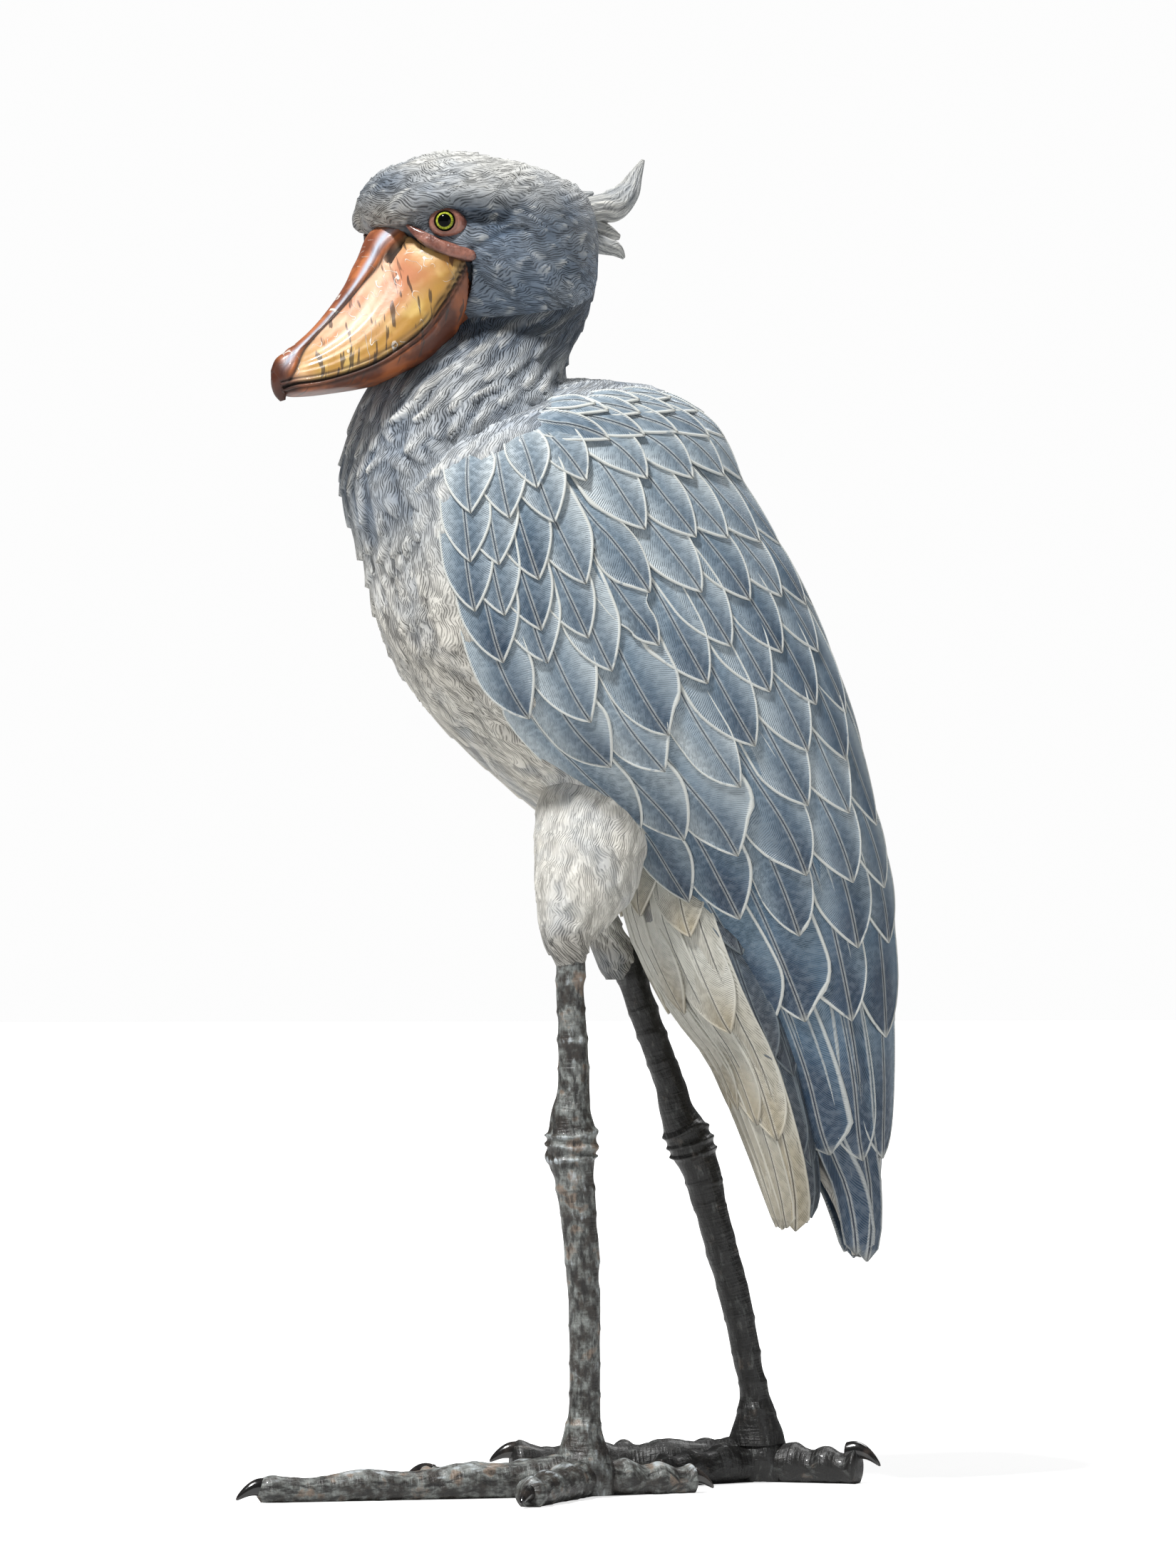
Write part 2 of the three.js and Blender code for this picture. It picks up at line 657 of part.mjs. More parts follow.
const group = new THREE.Group();
group.add(named('figure', figure(), PLUMAGE));
group.add(named('left_eye', eyeBall(1, 0), GLASS));
group.add(named('right_eye', eyeBall(-1, 0), GLASS));
group.position.set(...FRAME_SHIFT);

export default group;
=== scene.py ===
"""Looks of a standing shoebill figurine, built round its packed casting.

Every shape is worked out in millimetres in the bird's own frame, as the casting was: the
bird faces -Y, its left side is +X and its soles lie on z = 0. add_piece() then moves it by
FRAME_SHIFT, to stand over the origin, and turns millimetres into metres.
"""

import itertools
import math

import bpy
import numpy as np
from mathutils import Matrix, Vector


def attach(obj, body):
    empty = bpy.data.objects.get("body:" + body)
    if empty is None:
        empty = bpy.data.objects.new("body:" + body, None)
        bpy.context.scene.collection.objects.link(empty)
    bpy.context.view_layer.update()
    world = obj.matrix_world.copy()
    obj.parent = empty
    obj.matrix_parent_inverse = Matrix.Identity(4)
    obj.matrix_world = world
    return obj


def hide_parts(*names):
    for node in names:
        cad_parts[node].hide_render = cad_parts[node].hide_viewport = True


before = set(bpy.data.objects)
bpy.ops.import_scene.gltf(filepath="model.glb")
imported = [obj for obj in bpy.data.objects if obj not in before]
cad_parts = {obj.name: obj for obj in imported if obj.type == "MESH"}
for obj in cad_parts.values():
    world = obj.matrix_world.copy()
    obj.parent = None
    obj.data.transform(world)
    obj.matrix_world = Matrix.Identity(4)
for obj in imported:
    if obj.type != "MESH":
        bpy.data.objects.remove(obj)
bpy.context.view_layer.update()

MM = 0.001
FRAME_SHIFT = np.array([0.8, 30.3, 0.0])

# Stations of a body are [front y, front z, back y, back z, half width].
TRUNK = [
    [-75, 508, -14, 506, 28],
    [-92, 487, -19, 490, 32],
    [-111, 463, -28, 465, 41],
    [-121, 437, -6, 446, 51],
    [-122.5, 416, 12, 422, 57],
    [-113, 388, 28, 398, 58.5],
    [-104, 356, 43, 371, 58],
    [-88, 330, 56, 344, 56],
    [-66.5, 308, 65, 314, 53],
    [-38, 285, 71, 281, 46],
    [-7, 264, 75, 254, 38],
    [19, 247, 68, 238, 22],
]
WINGS = [
    [-56, 456, -28, 466.5, 20],
    [-81, 444, -8, 465.5, 40],
    [-104, 434, 14, 461.2, 52],
    [-112, 416, 36, 446.5, 59],
    [-109.5, 392, 49, 420, 62],
    [-105, 365, 69, 388, 63],
    [-96, 341, 84, 356, 62],
    [-79, 320, 95, 326, 60],
    [-51, 302, 101.5, 299, 56],
    [-20, 281, 109, 272, 51],
    [2, 257, 113.5, 248, 45],
    [22, 233, 115, 221, 39],
    [42, 206, 114.5, 194, 33],
    [59, 176, 113.5, 170, 27],
    [71, 149, 112, 146, 21],
    [86, 127, 110.5, 127, 15],
    [94, 108, 108.5, 107, 10],
    [97.5, 96, 105, 94, 7],
]
TAIL = [
    [-3, 266, 53, 266, 30],
    [0.5, 236, 65, 239, 34],
    [18.5, 203, 71, 206, 32],
    [38.5, 178, 76, 176, 28],
    [53.5, 145, 81, 146, 23],
    [61.8, 123, 83, 125, 16],
    [67.5, 108.5, 79, 106.5, 9],
]
WING_POWER = 2.5

# The front edge of the feathers: degrees round the wing at stations down it.
FEATHER_FRONT = [
    [0, 200], [1.9, 200], [2.1, 96], [2.4, 74], [3.0, 60], [3.6, 54],
    [6.5, 56], [7.9, 58], [8.6, 52], [9.2, 40], [10, 0],
]

# Rows of wing feathers from the shoulder: the tips' angles round the wing from its front, the
# stations of the first, middle and last tip, length and width, and, where it isn't 0, how many
# degrees the root lies ahead of the tip for the first, middle and last feather.
FEATHER_ROWS = [
    ([102, 120, 138], [2.05, 2.2, 2.35], 24, 11, [26, 28, 30]),
    ([104, 114, 130, 145, 162], [2.35, 2.65, 2.75], 27, 12, [24, 28, 30]),
    ([98, 109, 122, 137, 152, 168], [2.85, 3.1, 3.3], 30, 14, [22, 26, 26]),
    ([79, 90, 104, 120, 136, 152, 170], [3.5, 3.75, 4], 42, 18, [0, 18, 22]),
    ([57, 69, 81, 98, 111, 122, 136, 152, 168], [3.7, 4.5, 4.7], 52, 21, [-4, 10, 16]),
    ([53, 62, 72, 83, 93, 105, 119, 133, 147, 162], [4.4, 5.2, 5.5], 58, 22, [-5, 8, 14]),
    ([50, 59, 68, 79, 91, 107, 123, 141, 158], [5.1, 5.9, 6.2], 62, 23, [-5, 6, 12]),
    ([53, 66, 81, 97, 113, 129, 146, 164], [5.9, 6.6, 7.1], 66, 25, [-4, 5, 9]),
    ([50, 68, 85, 101, 118, 136, 156], [6.9, 7.5, 7.8], 74, 27, [-4, 3, 7]),
    ([60, 76, 91, 108, 126, 145, 165], [7.9, 8.5, 8.8], 82, 27, [-5, 2, 6]),
    ([43, 60, 78, 96, 116, 138, 162], [9.1, 9.7, 9.9], 90, 27, [-9, 0, 6]),
    ([40, 64, 88, 112, 137, 163], [10.4, 10.9, 10.7], 86, 27, [-6, 0, 4]),
    ([50, 76, 101, 130, 160], [12.3, 12.1, 12.4], 102, 27),
    ([63, 96, 128, 160], [14.3, 14.5, 14.2], 112, 23),
    ([66, 100], [16.7, 16.9, 16.9], 120, 13),
]
# Feathers down the middle of the back, between the wings.
BACK_ROWS = [
    ([168, 180, 192], [2.7, 2.75, 2.7], 34, 18),
    ([174, 186], [3.4, 3.4, 3.4], 44, 22),
    ([168, 180, 192], [4.2, 4.3, 4.2], 50, 22),
    ([174, 186], [5.1, 5.1, 5.1], 56, 24),
    ([168, 180, 192], [6.0, 6.1, 6.0], 62, 24),
    ([173, 187], [7.0, 7.0, 7.0], 70, 26),
    ([167, 180, 193], [8.0, 8.1, 8.0], 76, 26),
    ([172, 188], [9.2, 9.2, 9.2], 84, 26),
    ([166, 180, 194], [10.4, 10.5, 10.4], 90, 24),
    ([170, 190], [11.8, 11.8, 11.8], 100, 24),
    ([164, 180, 196], [13.3, 13.4, 13.3], 104, 20),
    ([168, 192], [15.2, 15.2, 15.2], 110, 16),
    ([180], [16.7, 16.7, 16.7], 118, 14),
]
TAIL_ROWS = [
    ([26, 62], [0.9, 1.0, 1.1], 40, 27),
    ([22, 58], [2.1, 2.2, 2.4], 56, 24),
    ([12, 38, 62], [3.5, 3.7, 3.9], 90, 20),
    ([14, 44, 72], [5.9, 5.9, 5.9], 132, 13),
]
# The dark inner feathers that show between tail and wing, on the tail's sides; their dark
# paint is partly painted shade, the shadow between tail and wing.
INNER_ROWS = [
    ([96, 120], [1.4, 1.5, 1.6], 54, 20),
    ([90, 112], [2.9, 3.0, 3.1], 80, 18),
    ([92, 114], [4.3, 4.4, 4.5], 100, 15),
    ([96, 122], [5.5, 5.6, 5.6], 120, 11),
]

HEAD_PLACE = np.array([0, -64.6, 523.5])
HEAD_TURN = math.radians(10)
HEAD_POWER = 2.1
HEAD = [
    [-22, 36.3, 1, 36, 10],
    [-40, 29.8, 27.5, 30, 29],
    [-49.8, 21.7, 44.5, 22, 37],
    [-52, 13, 49.5, 12.5, 41],
    [-48.5, 3.9, 51, 3.5, 42.5],
    [-46, -5.1, 51, -6, 43],
    [-40, -14.1, 50, -17, 42],
    [-34, -23.1, 47, -24, 38],
    [-26, -32, 40, -30, 31],
    [-16, -39, 27, -36, 20],
]
BROW = [[17, -43.5, 9], [27, -37, 13], [34, -26, 13.5], [38, -11, 11.5], [38.5, 1, 9]]
BROW_HOLLOW = [[35.5, -24, 8], [39.5, -17, 7.5], [42, -8, 8], [42, 2, 10.5]]
CHEEK_CREASE = [[37.5, -19, -7], [40.5, -12, -2.5], [42.5, -5, 0.5], [43, 3, 1]]
# Where the face stops against the bill, as [y, z]: along the flap, then down behind the gape.
FACE_EDGE = [
    [-60, 5], [-41, 3], [-36, -4], [-28, -8], [-20, -11],
    [-18.5, -21], [-18, -31], [-20, -41], [-27, -50],
]
# Painted shade in the corner between the eye, the bill's ridge and the flap.
EYE_CORNER = [[19, -43.5, 4.5], [25, -39, 1.5], [30, -33, -2.5]]

# Bill stations in the head's frame: [ridge y, ridge z, keel y, keel z, half width].
BILL = [
    [-31, 14, -1, -38, 29],
    [-47.5, 3.2, -20, -48, 30],
    [-53.8, -9.5, -31, -55.7, 29.5],
    [-59.8, -20.5, -43, -60.8, 27.5],
    [-67.8, -31, -55, -63.9, 24.5],
    [-78, -41.7, -68, -66.2, 20],
    [-85.5, -48, -78, -67.6, 15.5],
    [-91.3, -52, -86, -68, 10],
    [-93.9, -57, -90, -66.5, 5],
]
# Half sections as [how far down from ridge to keel, share of the half width].
BILL_SECTION = [
    [0, 0], [0.01, 0.17], [0.05, 0.29], [0.1, 0.37], [0.3, 0.72],
    [0.52, 0.92], [0.7, 1], [0.8, 0.98], [0.92, 0.74], [1, 0],
]
BILL_ROOT_SECTION = [
    [0, 0], [0.01, 0.2], [0.05, 0.34], [0.1, 0.5], [0.26, 0.98],
    [0.43, 1.18], [0.6, 1.14], [0.75, 1.0], [0.9, 0.72], [1, 0],
]
# Grooves as how far down they run at each bill station.
CULMEN_GROOVE = [0.12, 0.125, 0.09, 0.05, 0.035, 0.045, 0.16, 0.5, 0.8]
MOUTH_LINE = [0.42, 0.635, 0.67, 0.69, 0.725, 0.735, 0.725, 0.71, 0.8]
# Slit nostril beside the ridge, on the left, with its half width.
NOSTRIL = [[15.4, -41.9, -2.9], [15.1, -45.3, -6.9], [14.1, -47.7, -10.2]]
NOSTRIL_WIDTH = 1.5
# Lines of the mouth as [place across it, spread, depth]; the lips stand up between them.
MOUTH_LINES = [[0, 0.55, 1.2], [-2.3, 0.45, 0.5], [2.2, 0.45, 0.45], [1.1, 0.5, -0.55], [-1.2, 0.5, -0.5]]
# Where the right side's map starts, in millimetres beside the left side's.
RIGHT_SIDE_MAP = 400
BILL_HOOK = [
    [0, -82, -53, 6, 3],
    [0, -88.4, -56.5, 5.5, 3.6],
    [0, -90.3, -61, 4.5, 3.5],
    [0, -90, -66, 3.2, 2.8],
    [0, -88.8, -69.6, 1.2, 1.2],
]
# Reddish flap between face and bill: [x, y, z, half width, half thickness] for the left side.
LORE = [
    [22.0, -42.5, 3.2, 0.6, 0.6],
    [26.6, -38.2, -1.4, 2.3, 1.7],
    [30.6, -32.8, -5.3, 2.8, 2.2],
    [34.6, -26.0, -8.2, 2.9, 2.3],
    [37.0, -20.8, -9.8, 2.6, 2.1],
    [37.8, -19.0, -10.2, 1.8, 1.6],
    [38.1, -18.2, -10.3, 0.7, 0.7],
]

# Crest plumes as paths of [x, y, z, half width, half thickness].
CREST = [
    [
        [0, 34, 12, 8, 6],
        [0, 46, 14.5, 9, 5.6],
        [0, 55, 16.6, 9, 5.6],
        [0, 62, 18, 8.3, 6.8],
        [0, 69, 24, 6, 5],
        [0, 73, 31.5, 3, 2.8],
        [0, 76.4, 38, 0.9, 0.8],
    ],
    [
        [3, 38, 5, 6, 5],
        [3, 48, 2.6, 6, 4.5],
        [3, 56, 0.8, 5, 3.9],
        [3, 62, -0.8, 4, 3],
        [3, 66, -4.3, 0.9, 0.8],
    ],
    [[-4, 38, 8, 6, 6], [-4, 50, 8, 5.5, 6], [-4, 60, 6.8, 4, 4.2], [-4, 67, 5.2, 1.4, 1.3]],
    [[-3, 40, 18, 6, 5], [-3, 48, 20.6, 3.6, 3.4], [-3, 54.3, 23.4, 0.8, 0.8]],
]

EYE_PLACE = np.array([32.8, -29.8, 4.2])
EYE_FACING = np.array([0.87, -0.5, 0.05])
EYE_RADIUS = 4.6
# Section of the lid ring from the ball outwards and back underneath: share of the way from the
# ball's edge to the ring's outer edge, and height along the eye's facing.
LID_SECTION = [
    [0.0, 0.2], [-0.03, 1.5], [0.04, 2.4], [0.14, 2.5], [0.24, 2.0], [0.4, 1.9],
    [0.6, 1.7], [0.78, 1.2], [0.92, 0.2], [1.0, -1.4], [0.8, -3.0], [0.3, -2.0],
]

# Thighs, as stations round their own middle plane, which leans in towards the hip.
LEFT_THIGH = [
    [-25, 330, 16, 328, 11],
    [-32, 317, 16, 316, 15.5],
    [-39, 301, 13, 301, 17.5],
    [-45.5, 284, 6, 284, 17.8],
    [-47, 261, -1, 261, 18.8],
    [-46.5, 248, -6, 248, 17.5],
    [-46, 237, -16, 237, 13.5],
    [-44, 229, -24, 229, 10],
    [-41, 223, -26, 223, 7.6],
    [-38.5, 218, -28, 218, 5],
]
RIGHT_THIGH = [
    [-34, 300, 12, 306, 19],
    [-31, 280, 7, 280, 20],
    [-26, 258, 2, 258, 17],
    [-19, 246, 1.5, 246, 13.5],
    [-12, 236, 6, 236, 11],
    [-7.5, 227, 12, 227, 9],
    [-3.5, 219, 12, 219, 7.6],
    [-0.5, 214, 10.5, 214, 5],
]
THIGH_PLACE = 31
THIGH_LEAN = 0.11
THIGH_FOOT = 222

LEG_SIDE = [31, 34]
LEFT_LEG = [
    [-33.1, 232, 6.4],
    [-32.8, 207, 5.9],
    [-31.9, 185, 6.3],
    [-31.8, 168, 6.9],
    [-32.9, 158, 8.4],
    [-32.6, 150, 10.1],
    [-32.6, 145, 10.3],
    [-32.7, 140, 9.9],
    [-31.5, 131, 8.3],
    [-29.7, 113, 7.4],
    [-27.5, 75, 6.5],
    [-27.5, 40, 6.4],
    [-28, 26, 8.2],
    [-28, 14, 12],
]
RIGHT_LEG = [
    [6.7, 228, 6.6],
    [14.9, 203, 6.1],
    [21.9, 185, 6.2],
    [28.2, 167, 6.6],
    [30.7, 158, 7.2],
    [34.4, 150, 9.1],
    [36.6, 145, 9.3],
    [38.6, 140, 8.9],
    [41.9, 131, 7.9],
    [46.9, 113, 6.9],
    [56.8, 78, 6.3],
    [64.3, 43, 6],
    [66, 31, 8],
    [66.5, 16, 12.5],
]
# Bands round a leg as [height, spread, rise], from thigh to foot.
LEG_BANDS = [
    [214, 1.5, 0.5], [201, 1.2, 0.4], [190, 1.4, 0.5], [178, 1.1, 0.35], [150, 1.1, 1.3],
    [145.2, 1.1, 1.1], [140.4, 1.1, 1.3], [128, 1.0, 0.35], [117, 1.0, 0.3], [98, 1.2, 0.4],
    [84, 1.0, 0.3], [70, 1.2, 0.4], [55, 1.0, 0.35], [42, 1.2, 0.4], [30, 1.2, 0.35],
]
# A foot's hub place, its toes' radius there, and toes as [heading in degrees from straight
# ahead towards the left, reach, radius at the claw, claw height, tip height].
LEFT_FOOT = (
    [34, -28], 8.4,
    [[1, 148, 5.6, 5, 1.6], [56, 78, 6.2, 4, 2.5], [-36, 82, 5.8, 7, 3], [190, 60, 6, 6, 2]],
)
RIGHT_FOOT = (
    [-34, 67], 9,
    [[-5, 116, 9.2, 13, 10], [-52, 84, 7.5, 7, 3], [25, 64, 7, 7, 3], [145, 55, 7.4, 13, 8]],
)
# Swellings along a toe as [share of its length, spread], and where its end starts to close.
KNUCKLES = [[0.37, 0.1], [0.68, 0.1], [0.97, 0.07]]
TOE_END = 0.965
SCUTE_LENGTH = 5.2
CLAW_REACH = 9
CLAW_ROOT = 6
SOLE_DEPTH = 1.2
HUB = [[-2, 12], [8, 13], [16, 11.5], [22.5, 8]]
DOWN = np.array([0, 0, -1.0])

# Paints of feathers as a picture's bytes: edge of a pale feather, edge of a deep one, middle,
# tip and rim.
BLUE_PAINTS = [(186, 196, 200), (88, 116, 136), (84, 114, 138), (22, 54, 80), (216, 217, 210)]
TAIL_PAINTS = [(196, 196, 188), (190, 190, 182), (190, 190, 182), (158, 144, 114), (210, 208, 198)]
# The inner feathers' paints are dark grey, made darker still as painted shade between tail and wing.
INNER_PAINTS = [(74, 90, 102), (60, 76, 90), (44, 60, 76), (26, 38, 52), (124, 134, 136)]
# Metres from one barb to the next.
BARB_SPACING = 0.001
# How far the dark streaks lean from straight down the bill's side, so that they hang plumb.
STREAK_TURN = 0.65

# Camera that took the picture: its turn from the bird's left side, distance, height, the
# point it looks at and its lens on a 36 mm high film.
CAMERA_TURN = math.radians(15)
CAMERA_DISTANCE = 3100
CAMERA_HEIGHT = 216
AIM_DEPTH = -16.5
AIM_HEIGHT = 296.4
FILM_HEIGHT = 36
MM_PER_PIXEL = 0.3
PICTURE_HEIGHT = 2200
# What the lights face, in metres.
BIRD_MIDDLE = (0, 0, 0.3)


# Numbers


def row_at(rows, t):
    """A smooth curve through the rows for an array of t: row k is met at t = k, with a cubic
    between rows whose slope at a row is half the way from the row before to the one after."""
    rows = np.asarray(rows, float)
    last = len(rows) - 1
    within = np.clip(t, 0, last)
    k = np.minimum(np.floor(within).astype(int), last - 1)
    f = (within - k)[..., None]
    before, here, after, beyond = (rows[np.clip(k + step, 0, last)] for step in (-1, 0, 1, 2))
    slope = (after - before) / 2
    square = before - 2.5 * here + 2 * after - 0.5 * beyond
    cube = 1.5 * (here - after) + 0.5 * (beyond - before)
    return here + f * (slope + f * (square + f * cube))


def value_at(values, t):
    """The same smooth curve through single numbers."""
    return row_at([[value] for value in values], np.asarray(t, float))[..., 0]


def bump(value, middle, spread):
    """A bell of height 1 round the middle."""
    return np.exp(-(((value - middle) / spread) ** 2))


def ramp(value, low, high):
    """0 at low, 1 at high, and a smooth step between."""
    share = np.clip((value - low) / (high - low), 0, 1)
    return share * share * (3 - 2 * share)


def scatter(a, b, seed):
    """A number from 0 to 1 for each pair of whole numbers, from the tail digits of a large sine."""
    wave = np.sin(a * 127.1 + b * 311.7 + seed * 74.7) * 43758.5453
    return wave - np.floor(wave)


def noise(points, size, seed=0):
    """A smooth random number from -1 to 1: the corners of cubes of that size have numbers of
    their own, blended by a smooth step."""
    place = np.asarray(points) / size
    cell = np.floor(place)
    f = place - cell
    f = f * f * (3 - 2 * f)
    total = 0
    for corner in np.ndindex(2, 2, 2):
        at = cell + corner
        weight = np.prod(np.where(corner, f, 1 - f), axis=-1)
        total = total + weight * scatter(at[..., 0] + 57 * at[..., 2], at[..., 1], seed)
    return 2 * total - 1


def from_path(points, path):
    """Distance from each point to a line through the path's corners."""
    path = np.asarray(path, float)
    nearest = np.full(points.shape[:-1], np.inf)
    for start, end in zip(path[:-1], path[1:]):
        along = end - start
        share = np.clip((points - start) @ along / (along @ along), 0, 1)
        gap = np.linalg.norm(points - start - share[..., None] * along, axis=-1)
        nearest = np.minimum(nearest, gap)
    return nearest


def dot(a, b):
    return (a * b).sum(-1)


def unit(vectors):
    return vectors / np.maximum(np.linalg.norm(vectors, axis=-1, keepdims=True), 1e-9)


def wheel(angle, first, second):
    """Directions at an angle from the first one towards the second."""
    return np.cos(angle)[..., None] * first + np.sin(angle)[..., None] * second


# Surfaces


def oval(angle, power):
    """An angle's cosine and sine with their sizes raised to 2 / power: a circle for 2, and
    squarer for more."""
    return [np.sign(wave) * np.abs(wave) ** (2 / power) for wave in (np.cos(angle), np.sin(angle))]


def loft(rows, t, angle, power=2.0):
    """Points of a body: an oval between the front and back points of the station at t, at an
    angle from its front round by the bird's left."""
    front_y, front_z, back_y, back_z, half = np.moveaxis(row_at(rows, t), -1, 0)
    ahead, side = oval(angle, power)
    y = (front_y + back_y) / 2 + (front_y - back_y) * ahead / 2
    z = (front_z + back_z) / 2 + (front_z - back_z) * ahead / 2
    return np.stack([half * side, y, z], -1)


def middle_line(rows, t):
    """Points along a path whose rows start with x, y, z."""
    return row_at(rows, t)[..., :3]


def swept(rows, t, angle, sideways=(1, 0, 0), power=2.0):
    """Points round a path whose rows are [x, y, z, half width, half thickness]: an oval across
    the path, with its width along the sideways direction."""
    step = 0.01
    heading = unit(middle_line(rows, t + step) - middle_line(rows, t - step))
    sideways = np.asarray(sideways, float)
    side = unit(sideways - (heading @ sideways)[..., None] * heading)
    wide, high = oval(angle, power) * np.moveaxis(row_at(rows, t)[..., 3:], -1, 0)
    return middle_line(rows, t) + side * wide[..., None] + np.cross(side, heading) * high[..., None]


def grid(first, last, rows, columns, crowd=0.0):
    """Stations down and angles round a closed body, from its back round to its back, with the
    columns closer together at the front by the share given."""
    t = np.linspace(first, last, rows)
    s = np.linspace(-1, 1, columns, endpoint=False)
    return np.meshgrid(t, math.pi * ((1 - crowd) * s + crowd * s**3), indexing="ij")


def grid_normals(points):
    """Outward normals of a grid that closes on itself sideways."""
    down = np.gradient(points, axis=0)
    around = np.roll(points, -1, axis=1) - np.roll(points, 1, axis=1)
    normals = unit(np.cross(down, around))
    outward = points - points.mean(axis=1, keepdims=True)
    return normals if (normals * outward).sum() > 0 else -normals


def moved_out(points, height):
    """The grid with each point moved that far along its normal."""
    return points + grid_normals(points) * height[..., None]


def lengths(points, axis):
    """Distances between neighbours of a grid along that axis."""
    return np.linalg.norm(np.diff(points, axis=axis), axis=-1)


def flow_map(points):
    """Millimetres across and down a grid that closes on itself sideways, with one more column
    to meet the seam: mean length down the rows, and length round each row from its middle."""
    along = np.concatenate([[0], np.cumsum(lengths(points, 0).mean(axis=1))])
    closed = np.concatenate([points, points[:, :1]], axis=1)
    across = np.concatenate([np.zeros((len(points), 1)), np.cumsum(lengths(closed, 1), axis=1)], axis=1)
    across -= across[:, points.shape[1] // 2][:, None]
    return np.stack([across, np.broadcast_to(along[:, None], across.shape)], -1)


def closed_tube(points, flow, marks):
    """Skin of a grid that closes on itself sideways, each end drawn in to its ring's middle.
    A skin is its points, faces, the faces' corners on the map, and named marks per point."""
    rows, columns = points.shape[:2]
    here = np.arange(rows * columns).reshape(rows, columns)
    beside = np.roll(here, -1, axis=1)
    left, right = flow[:, :-1], flow[:, 1:]
    quads = np.stack([here[:-1], here[1:], beside[1:], beside[:-1]], -1)
    quads_map = np.stack([left[:-1], left[1:], right[1:], right[:-1]], -2)
    fans, fans_map = [], []
    for pole, row, order in ((0, 0, 1), (1, -1, -1)):
        fan = np.stack([np.full(columns, rows * columns + pole), here[row], beside[row]], -1)
        fan_map = np.stack([(left[row] + right[row]) / 2, left[row], right[row]], -2)
        fans.append(fan[:, ::order])
        fans_map.append(fan_map[:, ::order])
    faces = [quads.reshape(-1, 4), np.concatenate(fans)]
    corners = np.concatenate([part.reshape(-1, 2) for part in (quads_map, *fans_map)])
    whole = np.concatenate([points.reshape(-1, 3), [points[0].mean(0), points[-1].mean(0)]])
    spread = {}
    for name, values in marks.items():
        values = np.broadcast_to(values, (rows, columns))
        spread[name] = np.concatenate([values.reshape(-1), [values[0].mean(), values[-1].mean()]])
    return turned_out((whole, faces, corners, spread))


def torus(points, marks):
    """Skin of a grid that closes on itself both ways."""
    rows, columns = points.shape[:2]
    here = np.arange(rows * columns).reshape(rows, columns)
    below = np.roll(here, -1, axis=0)
    quads = np.stack([here, below, np.roll(below, -1, axis=1), np.roll(here, -1, axis=1)], -1)
    r, c = np.indices((rows, columns))
    spans = [np.stack([a, b / 2], -1) for a, b in ((r, c), (r + 1, c), (r + 1, c + 1), (r, c + 1))]
    corners = np.stack(spans, -2).reshape(-1, 2)
    flat = {name: values.reshape(-1) for name, values in marks.items()}
    return turned_out((points.reshape(-1, 3), [quads.reshape(-1, 4)], corners, flat))


def turned_out(skin):
    """The skin with its faces outwards, by the sign of its volume."""
    points, faces, corners, marks = skin
    volume = 0
    for group in faces:
        first = points[group[:, 0]]
        for k in range(1, group.shape[1] - 1):
            volume += (first * np.cross(points[group[:, k]], points[group[:, k + 1]])).sum()
    if volume >= 0:
        return skin
    starts = np.cumsum([0] + [group.size for group in faces])
    flipped = []
    for start, group in zip(starts, faces):
        part = corners[start : start + group.size].reshape(*group.shape, 2)
        flipped.append(part[:, ::-1].reshape(-1, 2))
    return points, [group[:, ::-1] for group in faces], np.concatenate(flipped), marks


def joined(skins):
    """One skin from several."""
    points, groups, corners, marks = zip(*skins)
    starts = np.cumsum([0] + [len(part) for part in points])
    faces = [group + start for start, part in zip(starts, groups) for group in part]
    merged = {name: np.concatenate([part[name] for part in marks]) for name in marks[0]}
    return np.concatenate(points), faces, np.concatenate(corners), merged


def mirrored(skin):
    """The skin's mirror image across the bird's middle, faces outwards."""
    points, faces, corners, marks = skin
    return turned_out((points * [-1, 1, 1], faces, corners, marks))


def in_head(points):
    """From the head's frame to the bird's: a turn about Z, then the head's place."""
    c, s = math.cos(HEAD_TURN), math.sin(HEAD_TURN)
    x, y, z = np.moveaxis(np.asarray(points, float), -1, 0)
    return np.stack([x * c - y * s, x * s + y * c, z], -1) + HEAD_PLACE


def add_object(name, data):
    thing = bpy.data.objects.new(name, data)
    bpy.context.scene.collection.objects.link(thing)
    return thing


def add_piece(name, skin, material, stands_for=()):
    """A Blender object of a skin, riding on the casting."""
    points, faces, corners, marks = skin
    mesh = bpy.data.meshes.new(name)
    loops = np.concatenate([group.ravel() for group in faces])
    sizes = np.concatenate([np.full(len(group), group.shape[1]) for group in faces])
    mesh.vertices.add(len(points))
    mesh.vertices.foreach_set("co", ((points + FRAME_SHIFT) * MM).astype(np.float32).ravel())
    mesh.loops.add(len(loops))
    mesh.loops.foreach_set("vertex_index", loops.astype(np.int32))
    mesh.polygons.add(len(sizes))
    mesh.polygons.foreach_set("loop_start", (np.cumsum(sizes) - sizes).astype(np.int32))
    mesh.polygons.foreach_set("use_smooth", np.ones(len(sizes), bool))
    mesh.update(calc_edges=True)
    flow = mesh.uv_layers.new(name="flow")
    flow.data.foreach_set("uv", (corners * MM).astype(np.float32).ravel())
    for mark, values in marks.items():
        layer = mesh.attributes.new(mark, "FLOAT", "POINT")
        layer.data.foreach_set("value", values.astype(np.float32))
    mesh.materials.append(material)
    piece = add_object(name, mesh)
    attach(piece, "root")
    if stands_for:
        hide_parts(*stands_for)


# Carved plumage

# Its marks: pale, warm and blue mix the paint, crest is how high a lock stands, calm is where the
# fine strokes fade, and the shade mark is painted shade, darkening where shadow falls: under the head
# and bill, in hollows and creases, and under the feathers.

# Lock width and length, on the body, the head and the thighs.
BODY_LOCKS = (10, 15)
HEAD_LOCKS = (6.5, 10)
THIGH_LOCKS = (7.5, 12)


